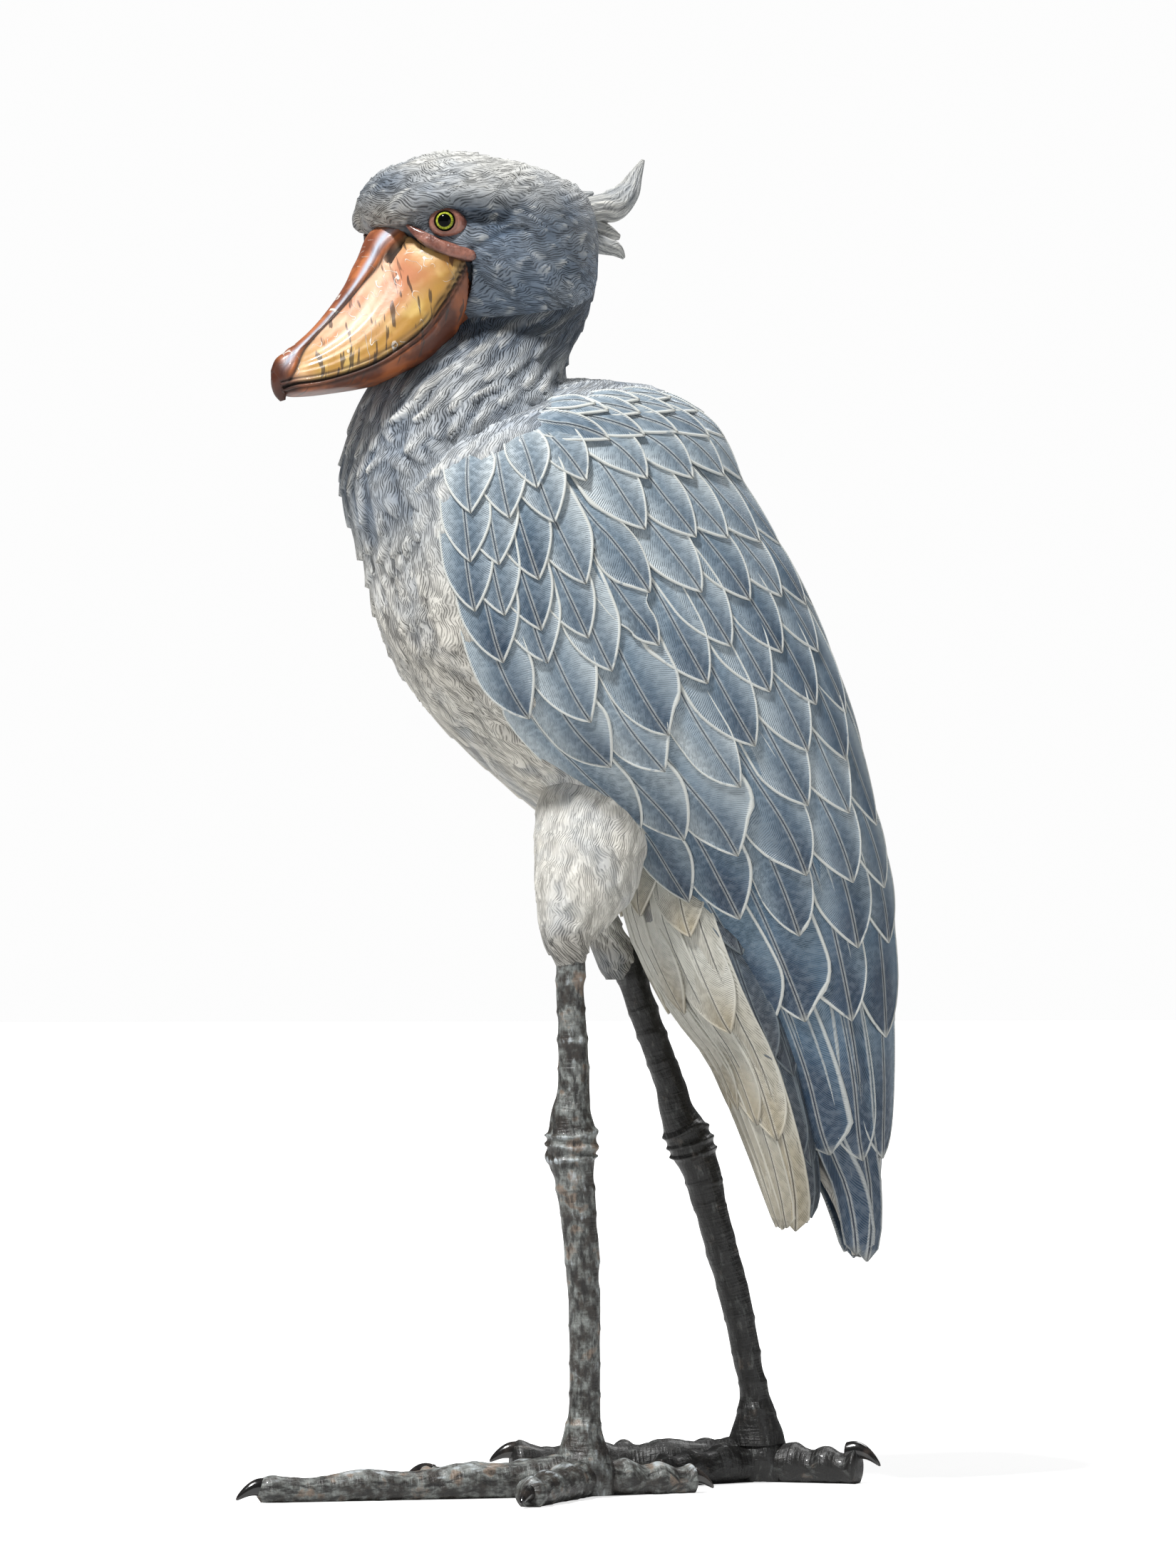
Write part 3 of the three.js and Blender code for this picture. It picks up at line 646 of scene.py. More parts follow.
def locks(across, along, width, length, seed):
    """Height from 0 to 1 of locks that lie in rows like roof tiles. A lock is as wide as the
    root of what is left of its length, bends to one side like an S, rises towards its tip and
    is rounded across; each point takes the highest lock over it."""
    best = np.zeros_like(across)
    row = np.floor(along / length)
    for back, side in itertools.product((2, 1, 0), (-1, 0, 1)):
        r = row - back
        offset = 0.5 * (r % 2)
        column = np.floor(across / width + offset) + side
        own, other = scatter(column, r, seed), scatter(column, r, seed + 5)
        share = (along / length - r - 0.35 * own) / (1.25 + 0.5 * other)
        within = np.clip(share, 0, 1)
        bend = (own - 0.5) * 0.9 * np.sin(np.pi * within * 1.3)
        x = across / width + offset - column - 0.5 - 0.35 * (other - 0.5) - bend
        half = (0.42 + 0.12 * other) * np.sqrt(1 - within**3)
        inside = (np.abs(x) < half) & (share > 0) & (share < 1)
        shape = np.sqrt(np.clip(1 - (x / np.maximum(half, 1e-3)) ** 2, 0, 1))
        height = (0.1 + 0.9 * within**1.3) * (0.5 + 0.5 * own) * shape
        best = np.where(inside & (height > best), height, best)
    return best


def plumed(points, flow, size, lift, seed, sway=4.0):
    """A grid raised by locks whose rows wander, and how high each point stands."""
    width, length = size
    drift = noise(points, 34, seed) * sway * 1.5 + noise(points, 14, seed + 1) * sway * 0.6
    slip = noise(points, 25, seed + 2) * length * 0.4
    height = locks(flow[:, :-1, 0] + drift, flow[:, :-1, 1] + slip, width, length, seed)
    return moved_out(points, lift * (height - 0.35)), height


def body_marks(points, height, seed):
    """Paint of the neck, chest and belly: painted shade under the head and the bill, then grey and, lower,
    cream.
    """
    y, z = points[..., 1], points[..., 2]
    # Under the head the pale share drops and the shade mark rises: painted shade under the head and, at the
    # front, under the bill.
    pale = 0.24 + 0.8 * height + 0.46 * ramp(z, 410, 360) - 0.35 * ramp(z, 466, 490)
    return {
        "pale": pale + 0.14 * noise(points, 22, seed),
        "warm": 0.05 + 0.8 * ramp(z, 405, 340) + 0.25 * noise(points, 18, seed + 1),
        "blue": 0.3 * ramp(z, 340, 420) + 0.15,
        "crest": height,
        "calm": 0.35 * ramp(z, 330, 290),
        "shade": np.maximum(0.75 * ramp(z, 464, 486), 0.95 * ramp(z, 446, 468) * ramp(y, -80, -97)),
    }


def behind_wing_edge(points):
    """How far points lie behind the wing feathers' front edge at their height."""
    t = np.linspace(2.1, 9.2, 40)[::-1]
    edge = loft(WINGS, t, np.radians(np.interp(t, *np.transpose(FEATHER_FRONT))), WING_POWER)
    above = ramp(points[..., 2], edge[-1, 2] + 4, edge[-1, 2] + 12)
    return points[..., 1] - np.interp(points[..., 2], edge[:, 2], edge[:, 1]) - 60 * above


def trunk_skin():
    """Neck, chest and belly: locks that stand highest on the chest, flat beside the wings and
    sunk behind their front edge. The neck is a little narrower just under the head."""
    t, angle = grid(0, len(TRUNK) - 1, 240, 250, crowd=0.45)
    points = loft(TRUNK, t, angle)
    flow = flow_map(points)
    z = points[..., 2]
    chest = ramp(z, 490, 440) * ramp(z, 300, 395)
    calm = 0.5 + 0.5 * ramp(noise(points, 30, 31), -0.5, 0.3)
    points[..., 0] *= 1 - 0.14 * ramp(z, 474, 488)
    behind = behind_wing_edge(points)
    reach = 14 * ramp(z, 395, 420)
    near = ramp(behind, -16 - reach, -3 - reach)
    lift = (1.0 + 3.2 * chest) * calm * (1 - near)
    raised, height = plumed(points, flow, BODY_LOCKS, lift, 3)
    sink = 2.6 * near * ramp(z, 325, 350) + 1.6 * ramp(behind, -1, 7)
    marks = body_marks(points, height, 8)
    marks["pale"] = marks["pale"] * (1 - near) + 0.62 * near
    marks["blue"] = marks["blue"] + 0.4 * near * ramp(z, 400, 425)
    marks["calm"] = np.maximum(marks["calm"], 0.5 * near)
    return closed_tube(raised - grid_normals(points) * sink[..., None], flow, marks)


def wing_bed_skin():
    """Shoulders and back: plumage before the feathers, and plain ground lying lower under them."""
    t, angle = grid(0, len(WINGS) - 1.15, 190, 180)
    points = loft(WINGS, t, angle, WING_POWER)
    flow = flow_map(points)
    turn = np.degrees(np.abs(angle))
    past = turn - np.interp(t, *np.transpose(FEATHER_FRONT))
    bare, nearby, hidden = ramp(past, -3, 12), ramp(past, -34, -4), ramp(past, 7, 16)
    rich = 1.2 + 2.2 * ramp(points[..., 2], 440, 415)
    lift = rich * (1 - 0.85 * nearby) * (1 - bare)
    raised, height = plumed(points, flow, BODY_LOCKS, lift, 12, sway=6)
    ahead = ramp(-past, 4, 14) * ramp(t, 5.5, 7)
    back = ramp(turn, *BACK_EDGE)
    sink = 2.0 * bare + 1.5 * ramp(t, 15, 17) + BACK_SINK * back * bare + 3.5 * ahead
    marks = body_marks(points, height, 25)
    shoulder = ramp(points[..., 2], 425, 445)
    # Under the feathers the ground loses its pale paint and is darkened: painted shade.
    marks["pale"] = marks["pale"] * (1 - hidden) + 0.3 * shoulder + 0.16 * nearby
    marks["blue"] = marks["blue"] + 0.5 * shoulder
    marks["calm"] = np.maximum(bare, 0.45 * nearby)
    marks["shade"] = np.maximum(marks["shade"] * (1 - shoulder), 0.75 * hidden)
    return closed_tube(raised - grid_normals(points) * sink[..., None], flow, marks)


def tail_bed_skin():
    """The tail's plain body, a little thinner than its stations."""
    t, angle = grid(0, len(TAIL) - 1.3, 60, 60)
    points = moved_out(loft(TAIL, t, angle), np.full(t.shape, -1.6))
    # The tail's body is darkened a little all over, as painted shade under its feathers.
    marks = {"pale": 0.6, "warm": 0.5, "blue": 0, "crest": 0, "calm": 0.4, "shade": 0.1}
    return closed_tube(points, flow_map(points), marks)


def domed(body, rises, steps=8):
    """A grid with a low dome over each end: rings that shrink to the middle as the cosine while
    they rise as the sine."""
    turn = np.linspace(0, math.pi / 2, steps + 1)[1:-1, None, None]
    ends = []
    for ring, rise in zip((body[0], body[-1]), rises):
        middle = ring.mean(0)
        ends.append(middle + (ring - middle) * np.cos(turn) + np.array([0, 0, rise]) * np.sin(turn))
    return np.concatenate([ends[0][::-1], body, ends[1]])


def folded(points):
    """The points with their right side laid over the left."""
    return np.abs(points * [1, 0, 0]) + points * [0, 1, 1]


def head_shape():
    """The skull with its brow ridges, the hollows under them, the creases behind the flaps, and
    the face drawn in where the bill springs from it. In the head's frame."""
    t, angle = grid(0, len(HEAD) - 1, 160, 280)
    points = domed(loft(HEAD, t, angle, HEAD_POWER), (0.9, -3))
    left = folded(points)
    push = 5.2 * bump(from_path(left, BROW), 0, 5.2)
    push -= 4.8 * bump(from_path(left, BROW_HOLLOW), 0, 5.2)
    push -= 1.5 * bump(from_path(left, CHEEK_CREASE), 0, 2.0)
    push -= 1.6 * ramp(np.linalg.norm(left - EYE_PLACE, axis=-1), 9.5, 5.5)
    behind_bill = face_cut(points[..., 1], points[..., 2])
    shaped = moved_out(points, push)
    drawn_in = shaped * [0.79, 1, 1] + np.array([0, 4.5, 0])
    return shaped + (drawn_in - shaped) * behind_bill[..., None], behind_bill, push


def face_cut(y, z):
    """1 where the bill covers the face and 0 outside its edge, with a steep step between."""
    edge = np.asarray(FACE_EDGE, float)
    gape_y, gape_z = edge[4]
    top = np.interp(y, edge[:5, 0], edge[:5, 1])
    rear = np.interp(z, edge[4:, 1][::-1], edge[4:, 0][::-1])
    under_flap = ramp(z, top + 0.8, top - 0.8)
    ahead = np.where(z > gape_z, 1, ramp(y, rear + 0.8, rear - 0.8))
    behind = ramp(y, gape_y + 0.6, gape_y - 0.6)
    return under_flap * np.where(z > gape_z - 2, behind, ahead)


def head_skin():
    """The head, with fine locks that run back from the bill and fade out round the eye."""
    points, cut, push = head_shape()
    flow = flow_map(points)[..., ::-1]
    y, z = points[..., 1], points[..., 2]
    away = 1 - ramp(np.abs(y + 29) + np.abs(z - 4), 16, 9)
    raised, height = plumed(points, flow, HEAD_LOCKS, 0.9 * away * (0.5 + ramp(z, 0, 25)), 21, sway=3)
    crown = ramp(z, 6, 30) * ramp(y, -52, -30)
    # Painted shade: behind the bill's edge, in the hollows under the brow, along the head's lower edge and
    # in the corner by the eye; the pale share also drops in the hollows.
    corner = bump(from_path(folded(points), EYE_CORNER), 0, 3.2)
    shade = 0.8 * cut + 0.6 * ramp(-push, 0.4, 3.2) + 0.5 * ramp(z, -30, -46) + 0.9 * corner
    marks = {
        "pale": 0.1 + 0.66 * crown + 0.1 * noise(points, 12, 4) - 0.22 * ramp(-push, 0.3, 2.5),
        "warm": 1.3 * ramp(y, -34, -48) * ramp(z, 24, 6) + 0.15 * noise(points, 10, 6),
        "blue": 0.15 + 0.25 * ramp(z, 15, -10),
        "crest": height,
        "calm": cut,
        "shade": np.clip(shade, 0, 1),
    }
    return closed_tube(in_head(raised), flow, marks)


def plume_skin(rows, seed):
    """A crest plume: a swept oval with shallow grooves along it."""
    t, angle = grid(0, len(rows) - 1, 50, 48)
    grooves = 1 + 0.035 * np.sin(angle * 9 + 1.5 * np.sin(t * 1.7 + seed)) + 0.03 * np.sin(angle * 17 + t)
    middle = middle_line(rows, t)
    points = middle + (swept(rows, t, angle) - middle) * grooves[..., None]
    height = ramp(grooves, 0.95, 1.06)
    marks = {
        "pale": 0.62 + 0.1 * noise(points, 8, seed),
        "warm": 0.35 * ramp(points[..., 2], 18, 34),
        "blue": 0.1,
        "crest": height,
        "calm": 0.6,
        # Painted shade in the grooves and where the plume meets the head.
        "shade": 0.5 * ramp(points[..., 1], 50, 38) + 0.4 * (1 - height),
    }
    return closed_tube(in_head(points), flow_map(points), marks)


def thigh_skin(rows, side, seed):
    """A thigh round its leaning plane, with locks that turn grey and stand out at the hem."""
    t, angle = grid(0, len(rows) - 1, 110, 120)
    points = loft(rows, t, angle)
    points[..., 0] += side * (THIGH_PLACE - THIGH_LEAN * (points[..., 2] - THIGH_FOOT))
    flow = flow_map(points)
    z = points[..., 2]
    hem = ramp(z, 240, 228)
    raised, height = plumed(points, flow, THIGH_LOCKS, 0.9 + 0.5 * hem, seed, sway=3)
    marks = {
        # The pale share drops a little near the top: painted shade under the wing.
        "pale": 0.88 - 0.52 * hem - 0.05 * ramp(z, 270, 296) + 0.08 * noise(points, 16, seed),
        "warm": 0.5 + 0.4 * hem + 0.3 * noise(points, 14, seed + 3),
        "blue": 0.05,
        "crest": height,
        "calm": 0.55 - 0.35 * hem,
        # Painted shade under the thigh, at its hem.
        "shade": 0.5 * ramp(z, 226, 214),
    }
    return closed_tube(raised, flow, marks)


# Feathers

# Cross section of a feather plate: distances in from its edge, then shares of the way on to
# the shaft, each with the plate's own height. The first point is the edge's foot.
RIM = np.array([[0.0, -1.0], [0.0, 0.0], [0.2, 0.4], [0.55, 0.55], [0.9, 0.38], [1.2, 0.0]])
VANE = np.array([[0.25, 0], [0.5, 0.15], [0.72, 0.3], [0.86, 0.36], [0.93, 0.58], [0.97, 0.46], [1, 0.05]])
FEATHER_STEPS = 26
ROOT_SINK = 2.4
OPEN_ROOT_SINK = 3.8
TIP_RISE = 2.2
ROLL = 0.7
RIPPLE = 0.25
# A tip closes over that share of the feather's width, less in the longest ones.
TIP_LENGTH = 0.95
BLUNTER = 0.4
# How far the middle of the back lies lower, and from where on, in degrees round the wing.
BACK_SINK = 2.0
BACK_EDGE = (140, 168)


def feather_layout(rows):
    """One line per feather: tip angle and station, length, width, root lead and row number."""
    lines = []
    for number, (tips, at, length, width, *lead) in enumerate(rows):
        place = np.linspace(0, 2, len(tips))
        leads = value_at(lead[0], place) if lead else 0 * place
        for tip, station, ahead in zip(tips, value_at(at, place), leads):
            lines.append([tip, station, length, width, ahead, number])
    return np.array(lines, float)


def feather_outline(share, length, width, uncovered):
    """Half width along a feather: full from a quick rounded root, or from a narrow one where it
    is uncovered, then closing in a pointed arch."""
    closing = (TIP_LENGTH - BLUNTER * ramp(length, 108, 118)) * width / length
    tip = np.clip((share - 1 + closing) / closing, 0, 1)
    arch = np.clip(1 - tip**1.9, 0, 1) ** 0.85
    rounded = 0.35 + 0.65 * np.sqrt(np.clip(share / 0.1, 0, 1))
    narrow = 0.2 + 0.8 * np.clip(share / 0.5, 0, 1) ** 0.8
    root = rounded + (narrow - rounded) * uncovered
    return width / 2 * arch * root * (0.86 + 0.14 * np.sin(np.pi * np.clip(share, 0, 1)))


def row_tone(row, own):
    """How deep a feather's blue is: pale at the shoulder and deeper from row to row."""
    middle = 0.34 * ramp(row, 3.8, 6) * (1 - 0.6 * ramp(row, 7, 9))
    return np.clip(middle + 0.8 * ramp(row, 9.5, 12) + 0.5 * (own - 0.5), 0, 1)


class Feathers:
    """Rows of feathers on a body, each of their numbers an array with one value per feather."""

    step = 0.004

    def __init__(self, rows, body, power, seed, turn):
        self.body, self.power = body, power
        tip_angle, tip_t, length, width, self.lead, self.row = feather_layout(rows).T
        index = np.arange(len(self.row))
        self.own = scatter(index, self.row, seed)
        self.length = length * (0.94 + 0.12 * self.own)
        self.width = width * (0.95 + 0.12 * scatter(index, self.row, seed + 1))
        self.tip_angle = tip_angle + turn
        self.tip_t = np.minimum(tip_t + 0.12 * (self.own - 0.5), len(body) - 1.05)
        before, tip = 0.2, np.radians(self.tip_angle)
        reach = self.on_body(self.tip_t, tip) - self.on_body(self.tip_t - before, tip)
        self.stations = self.length / np.linalg.norm(reach / before, axis=-1)
        first_rows = ramp(self.row, 2.6, 1.6)
        front_edge = ramp(self.tip_angle, 88, 68) * ramp(self.row, 5.6, 4.4)
        self.uncovered = np.maximum(first_rows, front_edge)

    def on_body(self, t, angle):
        return loft(self.body, t, angle, self.power)

    def slopes(self, t, angle):
        """How the body's surface moves with the station and with the angle."""
        by_t = self.on_body(t + self.step, angle) - self.on_body(t - self.step, angle)
        by_angle = self.on_body(t, angle + self.step) - self.on_body(t, angle - self.step)
        return by_t / (2 * self.step), by_angle / (2 * self.step)

    def line(self, s):
        """Station and angle of the shaft at the share s of its length."""
        t = np.maximum(self.tip_t - self.stations * (1 - s), 0.02)
        return t, np.radians(self.tip_angle - self.lead * np.maximum(1 - s, 0) ** 1.15)

    def sideways(self, s):
        """Stations and radians for one millimetre on the body square to the shaft: the pair whose
        products with the two slopes are those of the square direction."""
        t, angle = self.line(s)
        by_t, by_angle = self.slopes(t, angle)
        along_t, along_angle = (a - b for a, b in zip(self.line(s + self.step), self.line(s - self.step)))
        heading = unit(by_t * along_t[..., None] + by_angle * along_angle[..., None])
        square = np.cross(unit(np.cross(by_t, by_angle)), heading)
        tt, ta, aa = dot(by_t, by_t), dot(by_t, by_angle), dot(by_angle, by_angle)
        of_t, of_angle = dot(by_t, square), dot(by_angle, square)
        area = tt * aa - ta * ta
        return (aa * of_t - ta * of_angle) / area, (tt * of_angle - ta * of_t) / area


def to_both_edges(half_section, sign=1):
    """A section from edge to shaft, and back out to the other edge."""
    return np.concatenate([half_section, sign * half_section[..., -2::-1]], -1)


def feather_section(s, half, length):
    """Across each feather: places and distances in from the edge, where the rim keeps its width
    square to a slanting edge, and the heights of rim and vane."""
    slope = np.abs(np.gradient(half, axis=0) / np.gradient(s * length, axis=0))
    oblique = np.minimum(np.sqrt(1 + slope**2), 2.2)[..., None]
    half = half[..., None]
    rim = np.minimum(RIM[:, 0] * oblique, half * np.linspace(0, 0.6, len(RIM)))
    from_edge = np.concatenate([rim, rim[..., -1:] + (half - rim[..., -1:]) * VANE[:, 0]], -1)
    heights = to_both_edges(np.concatenate([RIM[:, 1], VANE[:, 1]]))
    return to_both_edges(from_edge - half, -1), to_both_edges(from_edge) / oblique, heights


def feather_skin(rows, body, power, seed, rise=TIP_RISE, lift=0.0, turn=0.0, tone=None):
    """Plates of overlapping feathers on a body. Each follows the body from its root to its tip
    and stands up along the body's normal: sunk at the root, raised at the tip, with a rounded
    rim, a shallow vane and a shaft. Widths are laid off square to the feather's own line."""
    f = Feathers(rows, body, power, seed, turn)
    s = np.concatenate([[0.002], np.linspace(0, 1, FEATHER_STEPS + 1)[1:-1], [0.999]])[:, None]
    half = feather_outline(s, f.length, f.width, f.uncovered)
    across, edge_gap, heights = feather_section(s, half, f.length)
    t, angle = (values[..., None] for values in f.line(s))
    side_t, side_angle = (values[..., None] for values in f.sideways(s))

    fade = np.minimum(half / (f.width / 2), 1)[..., None]
    relief = np.where(heights < -0.5, heights, heights * (0.35 + 0.65 * fade) * ramp(s, 0.2, 0.5)[..., None])
    roll = (ROLL + RIPPLE * np.sin(s * 5 + f.own * 6)[..., None]) * across / f.width[:, None]
    root = (ROOT_SINK + (OPEN_ROOT_SINK - ROOT_SINK) * f.uncovered)[:, None]
    climb = -root + (root + rise) * s[..., None] ** 0.75
    back = ramp(np.degrees(angle), *BACK_EDGE) if body is WINGS else 0
    up = lift + climb + relief + roll - BACK_SINK * back
    place_t = np.clip(t + across * side_t, 0.01, len(body) - 1.01)
    place_angle = angle + across * side_angle
    normals = unit(np.cross(*f.slopes(place_t, place_angle)))
    points = f.on_body(place_t, place_angle) + normals * up[..., None]

    emerging = (f.uncovered * ramp(s, 0.55, 0.2))[..., None]
    on_rim = ramp(edge_gap, 1.2, 0.8) * (heights > -0.5) * (1 - 0.45 * ramp(f.row, 12, 14))[:, None]
    deep = row_tone(f.row, f.own) if tone is None else tone + 0.2 * (f.own - 0.5)
    reach = s[..., None]
    marks = {"rim": on_rim * (1 - emerging), "tone": deep[:, None], "reach": reach, "emerging": emerging}
    return plates(points, across, (reach - 1) * f.length[:, None], marks)


def plates(points, across, along, marks):
    """Skin of many plates of one make, from grids of (row, plate, column): top faces, and an
    underside from each grid's two edge columns straight across."""
    rows, count, columns = points.shape[:3]

    def by_plate(values):
        return np.broadcast_to(values, (rows, count, columns)).transpose(1, 0, 2).reshape(count, -1)

    here = np.arange(rows * columns).reshape(rows, columns)
    top = np.stack([here[:-1, :-1], here[:-1, 1:], here[1:, 1:], here[1:, :-1]], -1)
    under = np.stack([here[:-1, 0], here[1:, 0], here[1:, -1], here[:-1, -1]], -1)
    groups = [top.reshape(-1, 4), under, here[:1, ::-1], here[-1:]]
    flow = np.stack([by_plate(across), by_plate(along)], -1)
    starts = (np.arange(count) * rows * columns)[:, None, None]
    faces = [(group + starts).reshape(-1, group.shape[1]) for group in groups]
    corners = np.concatenate([flow[:, group].reshape(-1, 2) for group in groups])
    flat = {name: by_plate(values).reshape(-1) for name, values in marks.items()}
    return turned_out((np.moveaxis(points, 1, 0).reshape(-1, 3), faces, corners, flat))


# Bill, flaps and eyes


def both_sides(half):
    """Values of the left half bill, and of the right half back up from keel to ridge."""
    return np.concatenate([half, half[:, -2:0:-1]], axis=1)


def bill_side(t, q):
    """The left half of the bill at stations t and places q down its section, which widens at the
    root and is drawn in behind the face's edge: share of the way down, depth and points."""
    section, root = (row_at(rows, q * (len(rows) - 1)) for rows in (BILL_SECTION, BILL_ROOT_SECTION))
    rooted = (1 - ramp(t, 0.1, 1.8))[..., None]
    down, wide = np.moveaxis(section + (root - section) * rooted, -1, 0)
    ridge_y, ridge_z, keel_y, keel_z, half = np.moveaxis(row_at(BILL, t), -1, 0)
    y, z = ridge_y + (keel_y - ridge_y) * down, ridge_z + (keel_z - ridge_z) * down
    drawn_in = 1 - 0.22 * (1 - face_cut(y, z)) * ramp(t, 2.2, 1.4)
    depth = np.hypot(keel_y - ridge_y, keel_z - ridge_z)
    return down, depth, np.stack([wide * half * drawn_in, y, z], -1)


def bill_press(t, down, groove, mouth, nostril, open_end):
    """How deep the bill is pressed in: bells along the groove and the three lines of the mouth,
    with raised lips between them, the nostril, and faint ripples down the side."""
    press = 0.9 * bump(groove, 0, 0.7) + 0.35 * bump(groove, 0.9, 2.2) * ramp(groove, -1, 1)
    press -= 0.4 * bump(groove, -3.2, 0.9)
    press = press * open_end * ramp(t, 0.2, 1.0)
    press += sum(deep * bump(mouth, middle, spread) for middle, spread, deep in MOUTH_LINES)
    ripples = np.sin(down * 60 + 3 * np.sin(t)) * ramp(groove, -0.5, 1) * ramp(mouth, 0, -4)
    return press + 2.2 * nostril + 0.12 * ripples


def bill_skin():
    """The bill: sections that widen at the root, with a groove beside the ridge, a three-line
    mouth and a slit nostril pressed in. In the map, millimetres along and down."""
    q = np.linspace(0, 1, 90)
    q = 0.35 * 0.5 * (1 - np.cos(np.pi * q)) + 0.65 * q
    t, q = np.meshgrid(np.linspace(0, len(BILL) - 1, 190), q, indexing="ij")
    down, depth, side = bill_side(t, q)
    culmen = value_at(CULMEN_GROOVE, t)
    groove, mouth = (down - culmen) * depth, (down - value_at(MOUTH_LINE, t)) * depth
    nostril = ramp(from_path(side, NOSTRIL), NOSTRIL_WIDTH + 0.6, NOSTRIL_WIDTH - 0.2)
    open_end = ramp(t, 7.9, 6.6)
    press = bill_press(t, down, groove, mouth, nostril, open_end)
    ring = np.concatenate([side, side[:, -2:0:-1] * [-1, 1, 1]], axis=1)

    along = np.concatenate([[0], np.cumsum(lengths(side, 0)[:, 40])])
    one = np.stack([np.broadcast_to(along[:, None], down.shape), down * depth], -1)
    right = one[:, ::-1] + [RIGHT_SIDE_MAP, 0]
    flow = np.concatenate([one, right[:, 1:]], axis=1)

    # Darker along the groove, the mouth's lines and the nostril, and along a line on the ridge.
    dark_lines = bump(groove, 0.1, 0.7) * open_end + 1.1 * bump(mouth, 0, 1.0) + 1.8 * nostril
    dark_lines += 0.5 * bump(down / culmen, 0.68, 0.07) * open_end * ramp(t, 0.4, 1)
    dark_lines += 0.85 * bump(mouth, -2.3, 0.6) + 0.75 * bump(mouth, 2.2, 0.6)
    nail = ramp(t, 6.2, 7.0) * ramp(mouth, 0.5, -0.5) * (1 - open_end)
    marks = {
        "lower": ramp(mouth, -0.4, 0.6),
        "culmen": ramp(groove, 0.4, -0.3) * open_end + nail,
        "slit": np.clip(dark_lines, 0, 1),
        "yellow": np.maximum(ramp(mouth, -21, -6) * ramp(t, 7.2, 5.5), 0.9 * ramp(t, 1.5, 0.5)),
        "tip": ramp(t, 6.3, 7.6),
        # A painted highlight along the ridge's flank.
        "sheen": bump(down / culmen, 0.42, 0.2) * open_end * ramp(t, 0.4, 1.2),
        # Painted shade at the bill's root, where it meets the face.
        "rear": ramp(t, 0.9, 0.2),
    }
    marks = {name: both_sides(values) for name, values in marks.items()}
    return closed_tube(in_head(moved_out(ring, -both_sides(press))), flow, marks)


def bill_hook_skin():
    """The nail over the bill's tip, a swept oval with a rounded end."""
    t, angle = grid(0, len(BILL_HOOK) - 1, 50, 40)
    points = swept(BILL_HOOK, t, angle)
    marks = {"lower": 0, "culmen": 1, "slit": 0.2 * ramp(t, 2, 4), "yellow": 0}
    marks.update({"tip": 1, "sheen": 0, "rear": 0})
    return closed_tube(in_head(points), flow_map(points), marks)


def lore_skin(side):
    """The reddish flap between face and bill: a swept oval with fine wrinkles along it."""
    rows = np.array(LORE) * [side, 1, 1, 1, 1]
    t, angle = grid(0, len(rows) - 1, 90, 40)
    middle = middle_line(rows, t)
    points = swept(rows, t, angle, sideways=(0.25 * side, 0.45, 0.85), power=2.6)
    wrinkles = 1 + 0.05 * np.sin(angle * 5 + 2 * np.sin(t * 3)) + 0.05 * noise(points, 1.6, 3)
    points = middle + (points - middle) * wrinkles[..., None]
    return closed_tube(in_head(points), flow_map(points), {"edge": ramp(-np.cos(angle), 0.55, 0.95)})


def eye_frame(side):
    """The eye's place, its facing, and directions to the front and up across it."""
    facing = unit(EYE_FACING * [side, 1, 1])
    forward = unit(np.cross(facing, [0, 0, -side]))
    up = np.cross(forward, facing) * side
    return EYE_PLACE * [side, 1, 1], facing, forward, up


def lid_skin(side):
    """The bare ring of skin round an eye: its section carried round, wider to the front corner."""
    place, facing, forward, up = eye_frame(side)
    turn = np.linspace(0, 2 * math.pi, 84, endpoint=False)
    q = np.linspace(0, len(LID_SECTION), 44, endpoint=False)
    turn, q = np.meshgrid(turn, q, indexing="ij")
    share, height = np.moveaxis(row_at(LID_SECTION + LID_SECTION[:1], q), -1, 0)
    inner = EYE_RADIUS * 0.93
    reach = 7.3 + 1.9 * np.clip(np.cos(turn - 0.25), 0, 1) ** 6 - 1.2 * np.sin(turn) ** 2
    radius = inner + (reach - inner) * share + 0.12 * np.sin(turn * 23) * share * (1 - share)
    lift = height + 0.12 * np.sin(turn * 17 + share * 5) * np.clip(share, 0, 1)
    drop = 0.045 * (radius * np.cos(turn)) ** 2 * ramp(share, 0.2, 1)
    points = place + facing * (lift - 0.35 * drop)[..., None]
    points = points + wheel(turn, forward, up) * radius[..., None]
    return torus(in_head(points), {"edge": bump(share, 0.02, 0.08)})


def eye_skin(side):
    """The glass eye, a ball. Its marks are the angle from its facing, and the turn round it."""
    place, facing, forward, up = eye_frame(side)
    polar = np.linspace(0.02, math.pi - 0.02, 40)
    turn = np.linspace(0, 2 * math.pi, 65)
    flow = np.stack(np.meshgrid(polar * 10, turn * 3, indexing="ij"), -1)
    polar, turn = np.meshgrid(polar, turn[:-1], indexing="ij")
    points = place + wheel(polar, facing, wheel(turn, forward, up)) * EYE_RADIUS
    return closed_tube(in_head(points), flow, {"polar": polar, "turn": turn / (2 * math.pi)})


# Legs and feet


